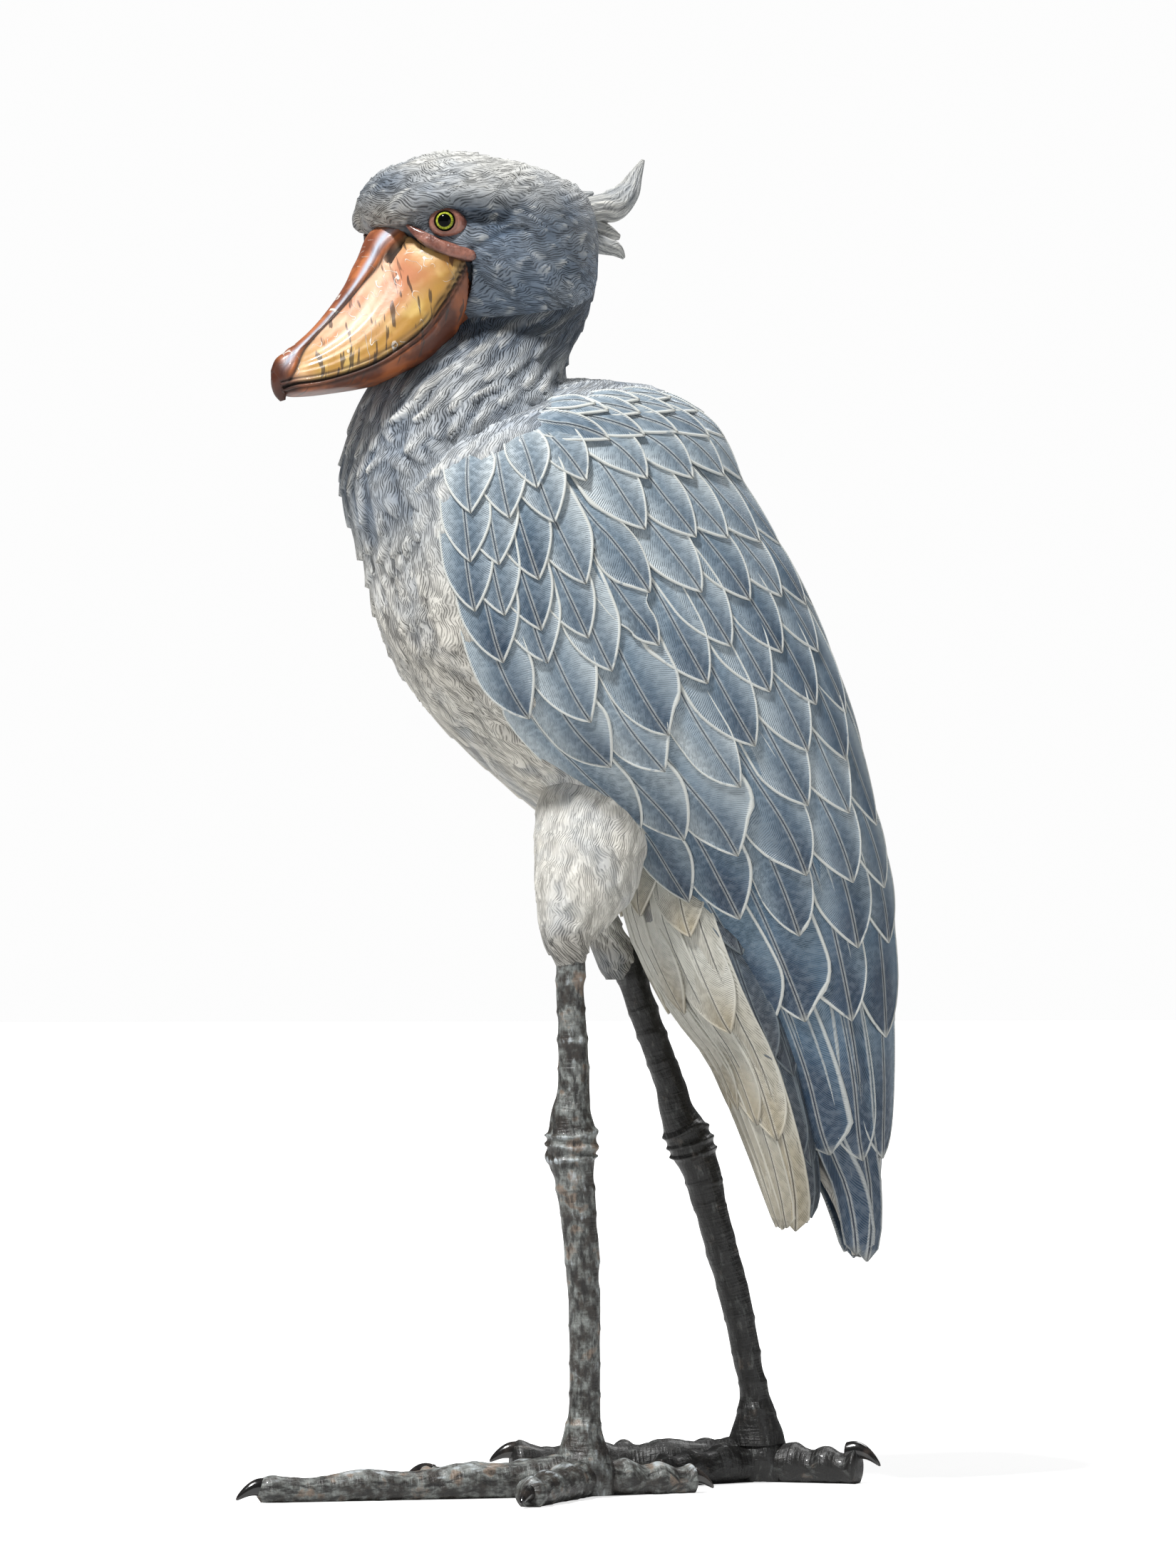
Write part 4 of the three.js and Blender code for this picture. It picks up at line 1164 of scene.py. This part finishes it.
def leg_skin(rows, side, seed):
    """A leg: circles along its path, with raised bands, shallow flats and fine cuts. Its marks
    are what stands proud, to be brushed pale, and whether it is the far leg, which gets painted shade."""
    sides = np.linspace(*LEG_SIDE, len(rows)) * side
    path = [[x, y, z, radius, radius] for x, (y, z, radius) in zip(sides, rows)]
    t, angle = grid(0, len(rows) - 1, 280, 44)
    middle = middle_line(path, t)
    ring = swept(path, t, angle)
    z = middle[..., 2] + 1.2 * np.sin(angle + seed) + 1.5 * noise(ring, 9, seed)
    bands = sum(rise * bump(z, height, spread) for height, spread, rise in LEG_BANDS)
    lumps = 0.45 * noise(ring, 7, seed + 1) + 0.25 * noise(ring * [1, 1, 0.35], 2.2, seed + 2)
    points = ring + unit(ring - middle) * (bands + lumps)[..., None]
    marks = {"proud": ramp(bands + lumps, -0.2, 0.9), "far": float(side < 0)}
    return closed_tube(points, flow_map(points), marks)


def toe_directions(heading):
    """The toe's sideways direction and the one it points in."""
    turn = math.radians(heading)
    c, s = math.cos(turn), math.sin(turn)
    return np.array([c, s, 0]), np.array([s, -c, 0])


def toe_skin(place, thick, toe):
    """A toe: circles that lie on the ground, with two knuckles, a swollen end and scutes on top."""
    heading, reach, thin, *_ = toe
    sideways, ahead = toe_directions(heading)
    fleshy = reach - CLAW_REACH
    share, angle = grid(0, 1, 90, 40)
    swell = sum(bump(share, middle, spread) for middle, spread in KNUCKLES)
    radius = (thick + (thin - thick) * share) * (0.9 + 0.18 * swell + 0.3 * bump(share, 0, 0.2))
    middle = np.array([*place, 0]) + ahead * (fleshy * share)[..., None]
    middle = middle - DOWN * (radius - SOLE_DEPTH)[..., None]
    end = np.sqrt(np.clip(1 - ((share - TOE_END) / 0.04) ** 2, 0.05, 1))
    radius = radius * np.where(share > TOE_END, end, 1)
    spoke = wheel(angle, sideways, DOWN)
    upward = np.clip(-np.sin(angle), 0, 1)
    scutes = 0.22 * np.abs(np.sin(share * fleshy / SCUTE_LENGTH * math.pi)) ** 0.5
    rough = 0.35 * noise(middle + spoke * radius[..., None], 4, heading) + scutes * (0.3 + upward)
    flesh = middle + spoke * (radius + rough - 0.15)[..., None]
    flesh[..., 2] = np.maximum(flesh[..., 2], 0.02 + 0.3 * np.clip(0.3 - flesh[..., 2], 0, 0.3))
    proud = ramp(upward + 0.4 * noise(flesh, 3, 2), 0.3, 1.1) * ramp(swell, 0.1, 0.9)
    # The far foot's toes get painted shade.
    return closed_tube(flesh, flow_map(flesh), {"proud": proud, "far": float(place[0] < 0)})


def claw_skin(place, toe):
    """A claw: ovals that shrink along an arched line from the toe's end to the ground."""
    heading, reach, _, claw_height, tip_height = toe
    sideways, ahead = toe_directions(heading)
    share, angle = grid(0, 1, 30, 24)
    high = claw_height + 2 * np.sin(np.pi * share) + (tip_height - claw_height) * share**2
    radius = 4.3 * (1 - share) ** 0.55 + 0.3
    out = reach - CLAW_REACH - CLAW_ROOT + (CLAW_REACH + CLAW_ROOT) * share
    claw = np.array([*place, 0]) + ahead * out[..., None] - DOWN * high[..., None]
    claw = claw + wheel(angle, sideways * 0.85, DOWN) * radius[..., None]
    claw[..., 2] = np.maximum(claw[..., 2], 0.05)
    return closed_tube(claw, flow_map(claw), {"proud": share})


def hub_skin(place):
    """The foot's hub, where the toes and the leg meet: circles up a plumb line."""
    path = [[*place, z, radius, radius] for z, radius in HUB]
    t, angle = grid(0.35, len(HUB) - 1, 70, 72)
    points = swept(path, t, angle)
    points = points + unit(points - middle_line(path, t)) * (0.6 * noise(points, 5, 4))[..., None]
    points[..., 2] = np.maximum(points[..., 2], 0.05)
    # The far hub gets full painted shade, the near one a little.
    marks = {"proud": 0.7 * ramp(noise(points, 5, 4), -0.1, 0.8), "far": 1.0 if place[0] < 0 else 0.3}
    return closed_tube(points, flow_map(points), marks)


# Materials


def paint(red, green, blue):
    """A colour as light, from the bytes that a picture shows it with."""
    byte = np.array([red, green, blue]) / 255
    linear = np.where(byte <= 0.04045, byte / 12.92, ((byte + 0.055) / 1.055) ** 2.4)
    return (*linear.tolist(), 1.0)


class Value:
    """What a node puts out. Sums, differences, products and powers of values are Math nodes."""

    def __init__(self, nodes, socket):
        self.nodes, self.socket = nodes, socket

    def __add__(self, other):
        return self.nodes.math("ADD", self, other)

    def __sub__(self, other):
        return self.nodes.math("SUBTRACT", self, other)

    def __rsub__(self, other):
        return self.nodes.math("SUBTRACT", other, self)

    def __mul__(self, other):
        return self.nodes.math("MULTIPLY", self, other)

    def __truediv__(self, other):
        return self.nodes.math("DIVIDE", self, other)

    def __rtruediv__(self, other):
        return self.nodes.math("DIVIDE", other, self)

    def __pow__(self, other):
        return self.nodes.math("POWER", self, other)


class Nodes:
    """Adds nodes to a tree and links them, so that a material reads from top to bottom."""

    def __init__(self, tree):
        self.tree = tree

    def feed(self, socket, value):
        if isinstance(value, Value):
            self.tree.links.new(value.socket, socket)
        else:
            socket.default_value = value

    def node(self, kind, inputs=(), **settings):
        """A new node with those settings and inputs, which are called by name or number."""
        node = self.tree.nodes.new(kind)
        for name, value in settings.items():
            setattr(node, name, value)
        for key, value in dict(inputs).items():
            self.feed(node.inputs[key], value)
        return node

    def add(self, kind, inputs=(), out=0, **settings):
        """One output of a new node."""
        return Value(self, self.node(kind, inputs, **settings).outputs[out])

    def parts(self, kind, whole):
        """The numbers of a vector or a colour."""
        return [Value(self, socket) for socket in self.node(kind, {0: whole}).outputs]

    def math(self, operation, *numbers):
        return self.add("ShaderNodeMath", enumerate(numbers), operation=operation)

    def highest(self, first, *others):
        for other in others:
            first = self.math("MAXIMUM", first, other)
        return first

    def mix(self, share, a, b):
        return self.add("ShaderNodeMix", {"Factor": share, 6: a, 7: b}, 2, data_type="RGBA")

    def coated(self, colour, *coats):
        """The colour under coats of paint, each with its share and its own colour."""
        for share, coat in coats:
            colour = self.mix(share, colour, coat)
        return colour

    def step(self, value, low, high):
        """0 at low and 1 at high, smoothly."""
        inputs = {"Value": value, "From Min": low, "From Max": high}
        return self.add("ShaderNodeMapRange", inputs, interpolation_type="SMOOTHSTEP")

    def noise(self, vector, scale, detail=2.0, rough=0.5):
        inputs = {"Vector": vector, "Scale": scale, "Detail": detail, "Roughness": rough}
        return self.add("ShaderNodeTexNoise", inputs)

    def stretched(self, vector, across, along, turn=0.0):
        inputs = {"Vector": vector, "Rotation": (0, 0, turn), "Scale": (across, along, 1)}
        return self.add("ShaderNodeMapping", inputs)

    def marks(self, *names):
        """The piece's marks of those names."""
        return [self.add("ShaderNodeAttribute", out="Fac", attribute_name=name) for name in names]

    def flow(self):
        """The piece's own map, in metres across and along it."""
        return self.add("ShaderNodeUVMap", uv_map="flow")

    def place(self):
        return self.add("ShaderNodeTexCoord", out="Object")

    def group(self, group, **inputs):
        return self.add("ShaderNodeGroup", inputs, node_tree=group)


class Finish(Nodes):
    """A new material with its nodes and its shader."""

    def __init__(self, name, roughness, coat=0.0, specular=0.5):
        self.material = bpy.data.materials.new(name)
        self.material.use_nodes = True
        super().__init__(self.material.node_tree)
        self.shader = self.tree.nodes["Principled BSDF"].inputs
        self.shader["Roughness"].default_value = roughness
        self.shader["Coat Weight"].default_value = coat
        self.shader["Coat Roughness"].default_value = 0.12
        self.shader["Specular IOR Level"].default_value = specular

    def relief(self, height, depth):
        """Feeds the shader's normal from a height that is depth metres from its lowest to its highest."""
        inputs = {"Height": height, "Distance": depth, "Strength": 1.0}
        self.feed(self.shader["Normal"], self.add("ShaderNodeBump", inputs))

    def coloured(self, colour):
        """The material, finished with that colour."""
        self.feed(self.shader["Base Color"], colour)
        return self.material


def new_group(name, inputs, output):
    """An empty node group with sockets of those kinds: its nodes, what comes in, and its end."""
    tree = bpy.data.node_groups.new(name, "ShaderNodeTree")
    for label, kind in inputs.items():
        tree.interface.new_socket(label, in_out="INPUT", socket_type=kind)
    tree.interface.new_socket(output[0], in_out="OUTPUT", socket_type=output[1])
    nodes = Nodes(tree)
    start = tree.nodes.new("NodeGroupInput").outputs
    end = tree.nodes.new("NodeGroupOutput").inputs[0]
    return nodes, [Value(nodes, start[label]) for label in inputs], end


FLOAT, COLOUR, VECTOR = "NodeSocketFloat", "NodeSocketColor", "NodeSocketVector"
TURN = 2 * math.pi


def carved_strokes_group():
    """Short wavy strokes carved side by side in patches: in each patch the map is turned by a
    number of its own, and the lines are a sine across it that sways along it. The strokes fade
    in and out along their length. Out comes the height, 0 in a cut and 1 on a ridge."""
    sockets = {"Vector": VECTOR, "Spacing": FLOAT, "Patch": FLOAT, "Sway": FLOAT, "Turn": FLOAT}
    n, (vector, spacing, patch, sway, turn), end = new_group("carved strokes", sockets, ("Height", FLOAT))
    wander = {"Vector": vector, "Scale": 70.0, "Detail": 1.0}
    wander = n.add("ShaderNodeTexNoise", wander, "Color", noise_dimensions="2D")
    shift = n.add("ShaderNodeVectorMath", {0: wander, 1: (0.5, 0.5, 0.5)}, operation="SUBTRACT")
    shift = n.add("ShaderNodeVectorMath", {0: shift, "Scale": 0.008}, operation="SCALE")
    bent = n.add("ShaderNodeVectorMath", {0: vector, 1: shift}, operation="ADD")
    cells = n.node("ShaderNodeTexVoronoi", {"Vector": bent, "Scale": 1.0 / patch}, voronoi_dimensions="2D")
    lean, start, swing = n.parts("ShaderNodeSeparateColor", Value(n, cells.outputs["Color"]))[:3]
    middle = Value(n, cells.outputs["Position"])
    turned = {"Vector": bent, "Center": middle, "Angle": (lean - 0.5) * turn}
    turned = n.add("ShaderNodeVectorRotate", turned, rotation_type="Z_AXIS")
    across, along, _ = n.parts("ShaderNodeSeparateXYZ", turned)
    across = across + n.math("SINE", along * 760.0 + start * TURN) * sway
    line = n.math("SINE", across * TURN / spacing + swing * TURN)
    sharp = (line * 0.5 + 0.5) ** 0.4
    broken = n.step(n.noise(n.stretched(turned, 900.0, 170.0), 1.0, 1.0), 0.36, 0.56)
    n.feed(end, 1.0 - (1.0 - sharp) * broken)
    return n.tree


def dry_brush_group():
    """Dry-brushed paint: a base colour, a darker wash where the height is low, and a light
    brushed over what stands high, broken up by noise."""
    sockets = {"Vector": VECTOR, "Height": FLOAT, "Wash": COLOUR}
    sockets.update({"Base": COLOUR, "Light": COLOUR, "Amount": FLOAT})
    n, (vector, height, wash, base, light, amount), end = new_group("dry brush", sockets, ("Color", COLOUR))
    patchy = n.noise(vector, 110.0, 3.0, 0.6) - 0.5
    high = n.step(patchy * 0.9 + height, 0.62, 1.12)
    n.feed(end, n.mix(high * amount, n.mix(n.step(height, 0.05, 0.62), wash, base), light))
    return n.tree


def plumage_material(strokes, brush):
    """Carved plumage: slate to cream by its marks, washed dark in the cuts, dry-brushed, and darkened by
    painted shade where its shade mark says.
    """
    n = Finish("carved plumage", 0.62)
    flow, place = n.flow(), n.place()
    pale, warm, blue, crest, calm, shade = n.marks("pale", "warm", "blue", "crest", "calm", "shade")
    cut = n.group(strokes, Vector=flow, Spacing=0.001, Patch=0.011, Sway=0.00022, Turn=0.9)
    cut = n.highest(cut, calm)
    base = n.mix(pale, paint(80, 92, 106), paint(224, 222, 214))
    base = n.coated(base, (blue * 0.45, paint(128, 152, 180)), (warm * 0.3, paint(196, 182, 156)))
    wash = n.coated(base, (pale * -0.3 + 0.84, paint(28, 34, 42)), (warm * 0.25, paint(96, 82, 60)))
    light = n.mix(0.55, base, paint(240, 238, 228))
    height = cut * 0.42 + crest * 0.65
    colour = n.group(brush, Vector=place, Height=height, Wash=wash, Base=base, Light=light, Amount=0.85)
    patches = n.step(n.noise(place, 42.0, 3.0, 0.55), 0.45, 0.7)
    # Painted shade, darkest where the shade mark is 1.
    colour = n.coated(colour, (patches * 0.25, paint(104, 128, 156)), (shade * 0.72, paint(32, 40, 50)))
    n.relief(n.noise(place, 900.0) * 0.08 + cut, 0.0007)
    return n.coloured(colour)


def feather_barbs(n, flow, gap, along):
    """Barbs as a sine across lines that slant and bend away from the shaft, with breaks in them."""
    slanted = along + gap * -1.35 + gap * gap * 28.0
    wander = n.noise(flow, 130.0, 1.0) * 0.0012
    barbs = (n.math("SINE", (slanted + wander) * (TURN / BARB_SPACING)) * 0.5 + 0.5) ** 0.6
    return 1.0 - (1.0 - barbs) * n.step(n.noise(flow, 420.0), 0.3, 0.62)


def feather_material(brush, name, colours, rim_share, barb_cut=0.62, shaft_depth=0.6):
    """Painted feathers: colours are (edge of a pale feather, edge of a deep one, middle, tip, rim)."""
    n = Finish(name, 0.48, coat=0.12)
    flow, place = n.flow(), n.place()
    pale_edge, deep_edge, middle, tip, rim_paint = (paint(*colour) for colour in colours)
    rim, tone, reach, emerging = n.marks("rim", "tone", "reach", "emerging")
    across, along, _ = n.parts("ShaderNodeSeparateXYZ", flow)
    gap = n.math("ABSOLUTE", across)
    shaft = n.step(gap, 0.00065, 0.0003)
    barbs = n.highest(feather_barbs(n, flow, gap, along), emerging, rim, shaft)
    cloud = n.noise(place, 38.0)
    inward = n.step(gap, 0.0105, 0.0015)
    deep = n.step(cloud * 0.3 + reach, 0.5, 1.15) * (inward * 0.6 + 0.45) * (tone * 1.3 + 0.34)
    within = (inward * 0.75 + tone * 0.45) * (cloud * 0.3 + 0.65)
    base = n.mix(tone, pale_edge, deep_edge)
    base = n.coated(base, (within, middle), (deep, tip), (emerging * 0.85, pale_edge))
    light = n.mix(0.45, base, paint(224, 228, 228))
    wash = n.mix(0.45, base, paint(18, 26, 40))
    height = barbs * barb_cut + 0.42
    colour = n.group(brush, Vector=place, Height=height, Wash=wash, Base=base, Light=light, Amount=0.18)
    groove = n.step(gap, 0.0003, 0.0001) * (1.0 - emerging)
    quill = n.step(gap, 0.0012, 0.0006) * (1.0 - groove)
    colour = n.coated(colour, (quill * 0.35, rim_paint), (groove * shaft_depth, paint(24, 32, 58)))
    patchy = n.step(n.noise(place, 240.0, 3.0), 0.2, 0.42)
    n.relief(barbs * 0.55 - groove * 0.9, 0.0005)
    return n.coloured(n.mix(rim * rim_share * patchy, colour, rim_paint))


def bill_streaks(n, flow, culmen):
    """Dark streaks: noise stretched down a map that is turned so that they hang plumb."""
    turned = n.add("ShaderNodeVectorRotate", {"Vector": flow, "Angle": STREAK_TURN}, rotation_type="Z_AXIS")
    dashes = n.step(n.noise(n.stretched(turned, 330.0, 75.0), 1.0, 2.0, 0.6), 0.585, 0.63)
    where = n.step(n.noise(flow, 55.0, 1.0), 0.34, 0.44)
    return dashes * where * (1.0 - culmen * 0.8)


def bill_crackle(n, flow, lower):
    """White crackle above the mouth: the lines where a noise crosses its middle, in patches."""
    contour = n.math("ABSOLUTE", n.noise(flow, 140.0, 1.0, 0.6) - 0.5)
    return n.step(contour, 0.012, 0.004) * n.step(n.noise(flow, 90.0, 1.0), 0.5, 0.55) * (1.0 - lower)


def bill_material():
    """Varnished bill: orange-brown ridge with a painted highlight, salmon to ochre side, terracotta
    below the mouth, a dark hook, streaks down the side, fine white crackle, darker grooves, and
    painted shade at the root."""
    n = Finish("varnished bill", 0.42)
    flow, place = n.flow(), n.place()
    lower, culmen, slit, yellow = n.marks("lower", "culmen", "slit", "yellow")
    tip, sheen, rear = n.marks("tip", "sheen", "rear")
    cloud = n.noise(place, 60.0, 3.0, 0.55)
    side = n.mix(n.step(cloud, 0.35, 0.65), paint(198, 132, 98), paint(220, 178, 146))
    gold = n.mix(n.step(n.noise(place, 95.0), 0.4, 0.65), paint(176, 132, 58), paint(204, 170, 98))
    under = n.mix(n.step(cloud, 0.38, 0.62), paint(88, 44, 24), paint(156, 88, 48))
    brown = n.mix(n.step(cloud, 0.4, 0.62), paint(128, 64, 30), paint(190, 110, 56))
    # A broken painted highlight, pale blue-grey, along the ridge.
    painted_glint = sheen * n.step(n.noise(flow, 90.0), 0.1, 0.4)
    brown = n.mix(painted_glint, brown, paint(186, 194, 208))
    grain = n.step(n.noise(n.stretched(flow, 60.0, 420.0, 0.1), 1.0), 0.5, 0.75) * culmen
    crackle = bill_crackle(n, flow, lower)
    colour = n.coated(
        side,
        (yellow * (cloud * 0.8 + 0.55), gold),
        (lower, under),
        (culmen, brown),
        (bill_streaks(n, flow, culmen) * 0.8, paint(54, 42, 36)),
        (grain * 0.6, paint(92, 46, 26)),
        (crackle * 0.75, paint(242, 236, 226)),
        (tip * (cloud * 0.6 + 0.6), paint(54, 22, 13)),
        # Painted shade at the root against the face.
        (rear * 0.75, paint(96, 52, 30)),
        (slit * 0.95, paint(22, 15, 10)),
    )
    n.feed(n.shader["Roughness"], slit * 0.4 + cloud * 0.2 + 0.34)
    n.feed(n.shader["Coat Weight"], slit * -0.2 + 0.2)
    n.relief(n.noise(place, 300.0, 3.0) + crackle * 1.2, 0.00016)
    return n.coloured(colour)


def skin_material():
    """Bare reddish-brown skin, darker at the eye and along the flap's edge."""
    n = Finish("bare skin", 0.38, coat=0.45)
    place, (edge,) = n.place(), n.marks("edge")
    cloud = n.step(n.noise(place, 150.0, 4.0, 0.55), 0.3, 0.7)
    n.relief(n.noise(place, 900.0, 3.0), 0.0003)
    colour = n.mix(cloud, paint(96, 54, 44), paint(158, 108, 92))
    return n.coloured(n.mix(edge * 0.8, colour, paint(36, 20, 16)))


def eye_material():
    """A glass eye: black pupil, yellow-green iris with fine spokes and a dark outline."""
    n = Finish("glass eye", 0.08, specular=0.12)
    polar, turn = n.marks("polar", "turn")
    around = n.add("ShaderNodeCombineXYZ", {0: turn * 60.0, 1: polar * 1.5})
    iris = n.mix(n.step(n.noise(around, 1.0), 0.35, 0.65), paint(112, 122, 24), paint(184, 190, 66))
    flecks = n.step(n.noise(n.place(), 700.0), 0.5, 0.7) * 0.3
    iris = n.coated(iris, (n.step(polar, 0.78, 0.96), paint(88, 104, 14)), (flecks, paint(220, 214, 110)))
    colour = n.mix(n.step(polar, 0.62, 0.68), paint(4, 5, 6), iris)
    return n.coloured(n.mix(n.step(polar, 0.9, 0.96), colour, paint(16, 14, 12)))


def leg_material(brush):
    """Scaly legs: near black, brown in places, with pale blue-grey brushed over what stands proud; the far
    leg and foot are darkened and brushed less, as painted shade.
    """
    n = Finish("scaly legs", 0.46, coat=0.15)
    flow, place = n.flow(), n.place()
    proud, far = n.marks("proud", "far")
    scratches = n.noise(n.stretched(flow, 420.0, 130.0), 1.0, 4.0, 0.65)
    cloud = n.step(n.noise(place, 120.0, 4.0, 0.62), 0.38, 0.64)
    rust = n.step(n.noise(place, 120.0, 3.0), 0.55, 0.66)
    base = n.mix(cloud, paint(50, 45, 40), paint(134, 139, 136))
    base = n.mix(rust * 0.6, base, paint(112, 78, 46))
    height = proud * 0.4 + 0.1 + n.step(scratches, 0.3, 0.72) * 0.55
    wash, light = paint(18, 16, 15), paint(184, 192, 196)
    # The far leg is brushed less, part of its painted shade.
    amount = far * -0.6 + 0.85
    colour = n.group(brush, Vector=place, Height=height, Wash=wash, Base=base, Light=light, Amount=amount)
    # Painted shade over the far leg, broken where it is scratched.
    bare = n.step(scratches, 0.5, 0.7) * -0.35 + 0.97
    rings = n.noise(n.stretched(flow, 110.0, 900.0), 1.0)
    n.relief(rings * 0.5 + scratches, 0.0008)
    return n.coloured(n.mix(far * bare, colour, paint(10, 9, 8)))


def claw_material():
    """Glossy black claws with brown clouds."""
    n = Finish("black claws", 0.2, coat=0.8)
    cloud = n.noise(n.place(), 160.0, 3.0)
    n.relief(cloud, 0.0003)
    return n.coloured(n.mix(n.step(cloud, 0.45, 0.7), paint(16, 15, 15), paint(52, 46, 42)))


def floor_material():
    """A pale floor that looks lit to the camera alone, so that it joins the white ground."""
    n = Finish("pale floor", 0.7)
    n.shader["Emission Color"].default_value = (1, 1, 1, 1)
    seen = n.add("ShaderNodeLightPath", out="Is Camera Ray")
    n.feed(n.shader["Emission Strength"], seen * 0.7)
    return n.coloured(n.mix(n.noise(n.place(), 3.0), paint(204, 204, 204), paint(210, 210, 209)))


# The scene


def build_plumage(plumage):
    crest = joined([plume_skin(rows, 40 + number) for number, rows in enumerate(CREST)])
    add_piece("neck_and_body", trunk_skin(), plumage, ["figure"])
    add_piece("head", head_skin(), plumage)
    add_piece("crest", crest, plumage)
    add_piece("shoulders_and_back", wing_bed_skin(), plumage)
    add_piece("tail_core", tail_bed_skin(), plumage)
    add_piece("left_thigh", thigh_skin(LEFT_THIGH, 1, 61), plumage)
    add_piece("right_thigh", thigh_skin(RIGHT_THIGH, -1, 67), plumage)


def build_feathers(brush):
    blue = feather_material(brush, "blue feathers", BLUE_PAINTS, 0.8)
    white = feather_material(brush, "tail feathers", TAIL_PAINTS, 0.25, barb_cut=0.3, shaft_depth=0.5)
    grey = feather_material(brush, "inner feathers", INNER_PAINTS, 0.3)
    left_wing = feather_skin(FEATHER_ROWS, WINGS, WING_POWER, 1)
    right_wing = mirrored(feather_skin(FEATHER_ROWS, WINGS, WING_POWER, 9, lift=-0.45, turn=-3))
    back = feather_skin(BACK_ROWS, WINGS, WING_POWER, 23, lift=-0.9)
    tail = feather_skin(TAIL_ROWS, TAIL, 2.0, 15, rise=1.3, tone=0.25)
    inner = feather_skin(INNER_ROWS, TAIL, 2.0, 18, rise=0.6, tone=0.5)
    add_piece("left_wing_feathers", left_wing, blue)
    add_piece("right_wing_feathers", right_wing, blue)
    add_piece("back_feathers", back, blue)
    add_piece("tail_feathers", joined([tail, mirrored(tail)]), white)
    add_piece("inner_wing_feathers", joined([inner, mirrored(inner)]), grey)


def build_face():
    bill, skin, eye = bill_material(), skin_material(), eye_material()
    add_piece("bill", bill_skin(), bill)
    add_piece("bill_hook", bill_hook_skin(), bill)
    for name, side in (("left", 1), ("right", -1)):
        add_piece(name + "_lore_flap", lore_skin(side), skin)
        add_piece(name + "_eyelid", lid_skin(side), skin)
        add_piece(name + "_glass_eye", eye_skin(side), eye, [name + "_eye"])


def build_legs(brush):
    legs, claws = leg_material(brush), claw_material()
    left = ("left", 1, LEFT_LEG, LEFT_FOOT, 71)
    right = ("right", -1, RIGHT_LEG, RIGHT_FOOT, 75)
    for name, side, rows, (place, thick, toes), seed in (left, right):
        flesh = [toe_skin(place, thick, toe) for toe in toes]
        add_piece(name + "_leg", leg_skin(rows, side, seed), legs)
        add_piece(name + "_foot", joined([hub_skin(place), *flesh]), legs)
        add_piece(name + "_claws", joined([claw_skin(place, toe) for toe in toes]), claws)


def build_bird():
    brush = dry_brush_group()
    build_plumage(plumage_material(carved_strokes_group(), brush))
    build_feathers(brush)
    build_face()
    build_legs(brush)


def build_floor():
    size = 30.0
    mesh = bpy.data.meshes.new("floor")
    corners = [(-size, -size, 0), (size, -size, 0), (size, size, 0), (-size, size, 0)]
    mesh.from_pydata(corners, [], [(0, 1, 2, 3)])
    mesh.materials.append(floor_material())
    floor = add_object("floor", mesh)


def turned_to(place, target):
    """The rotation of a camera or light at a place that looks at the target."""
    return (Vector(target) - Vector(place)).to_track_quat("-Z", "Y").to_euler()


def build_camera():
    c, s = math.cos(CAMERA_TURN), math.sin(CAMERA_TURN)
    aim = Vector((AIM_DEPTH * s, AIM_DEPTH * c, AIM_HEIGHT)) + Vector(FRAME_SHIFT)
    eye = Vector((aim.x + CAMERA_DISTANCE * c, aim.y - CAMERA_DISTANCE * s, CAMERA_HEIGHT))
    data = bpy.data.cameras.new("camera")
    data.sensor_fit = "VERTICAL"
    data.sensor_height = FILM_HEIGHT
    data.lens = CAMERA_DISTANCE / MM_PER_PIXEL * FILM_HEIGHT / PICTURE_HEIGHT
    camera = add_object("camera", data)
    camera.location = eye * MM
    camera.rotation_euler = turned_to(eye, aim)
    bpy.context.scene.camera = camera


def add_light(name, kind, place, power):
    """A light at a place in metres that faces the bird's middle."""
    data = bpy.data.lights.new(name, kind)
    data.energy = power
    light = add_object(name, data)
    light.location = place
    light.rotation_euler = turned_to(place, BIRD_MIDDLE)
    return data


def build_studio():
    """A soft sun, two square soft boxes and a dim white world that the camera sees as white."""
    key = add_light("key", "SUN", (0.7, -1.0, 2.2), 5.0)
    key.angle = math.radians(8)
    fill = add_light("fill", "AREA", (2.0, 1.1, 0.6), 5)
    back = add_light("back", "AREA", (-0.9, 0.9, 1.6), 12)
    fill.size, back.size = 1.0, 0.8
    fill.color = (0.95, 0.97, 1.0)
    fill.specular_factor = back.specular_factor = 0.3
    world = bpy.data.worlds.new("studio")
    world.use_nodes = True
    n = Nodes(world.node_tree)
    background = world.node_tree.nodes["Background"].inputs
    background["Color"].default_value = (1, 1, 1, 1)
    seen = n.add("ShaderNodeLightPath", out="Is Camera Ray")
    n.feed(background["Strength"], seen * 0.86 + 0.12)
    bpy.context.scene.world = world
    bpy.context.scene.view_settings.view_transform = "Standard"


build_camera()
build_bird()
build_floor()
build_studio()
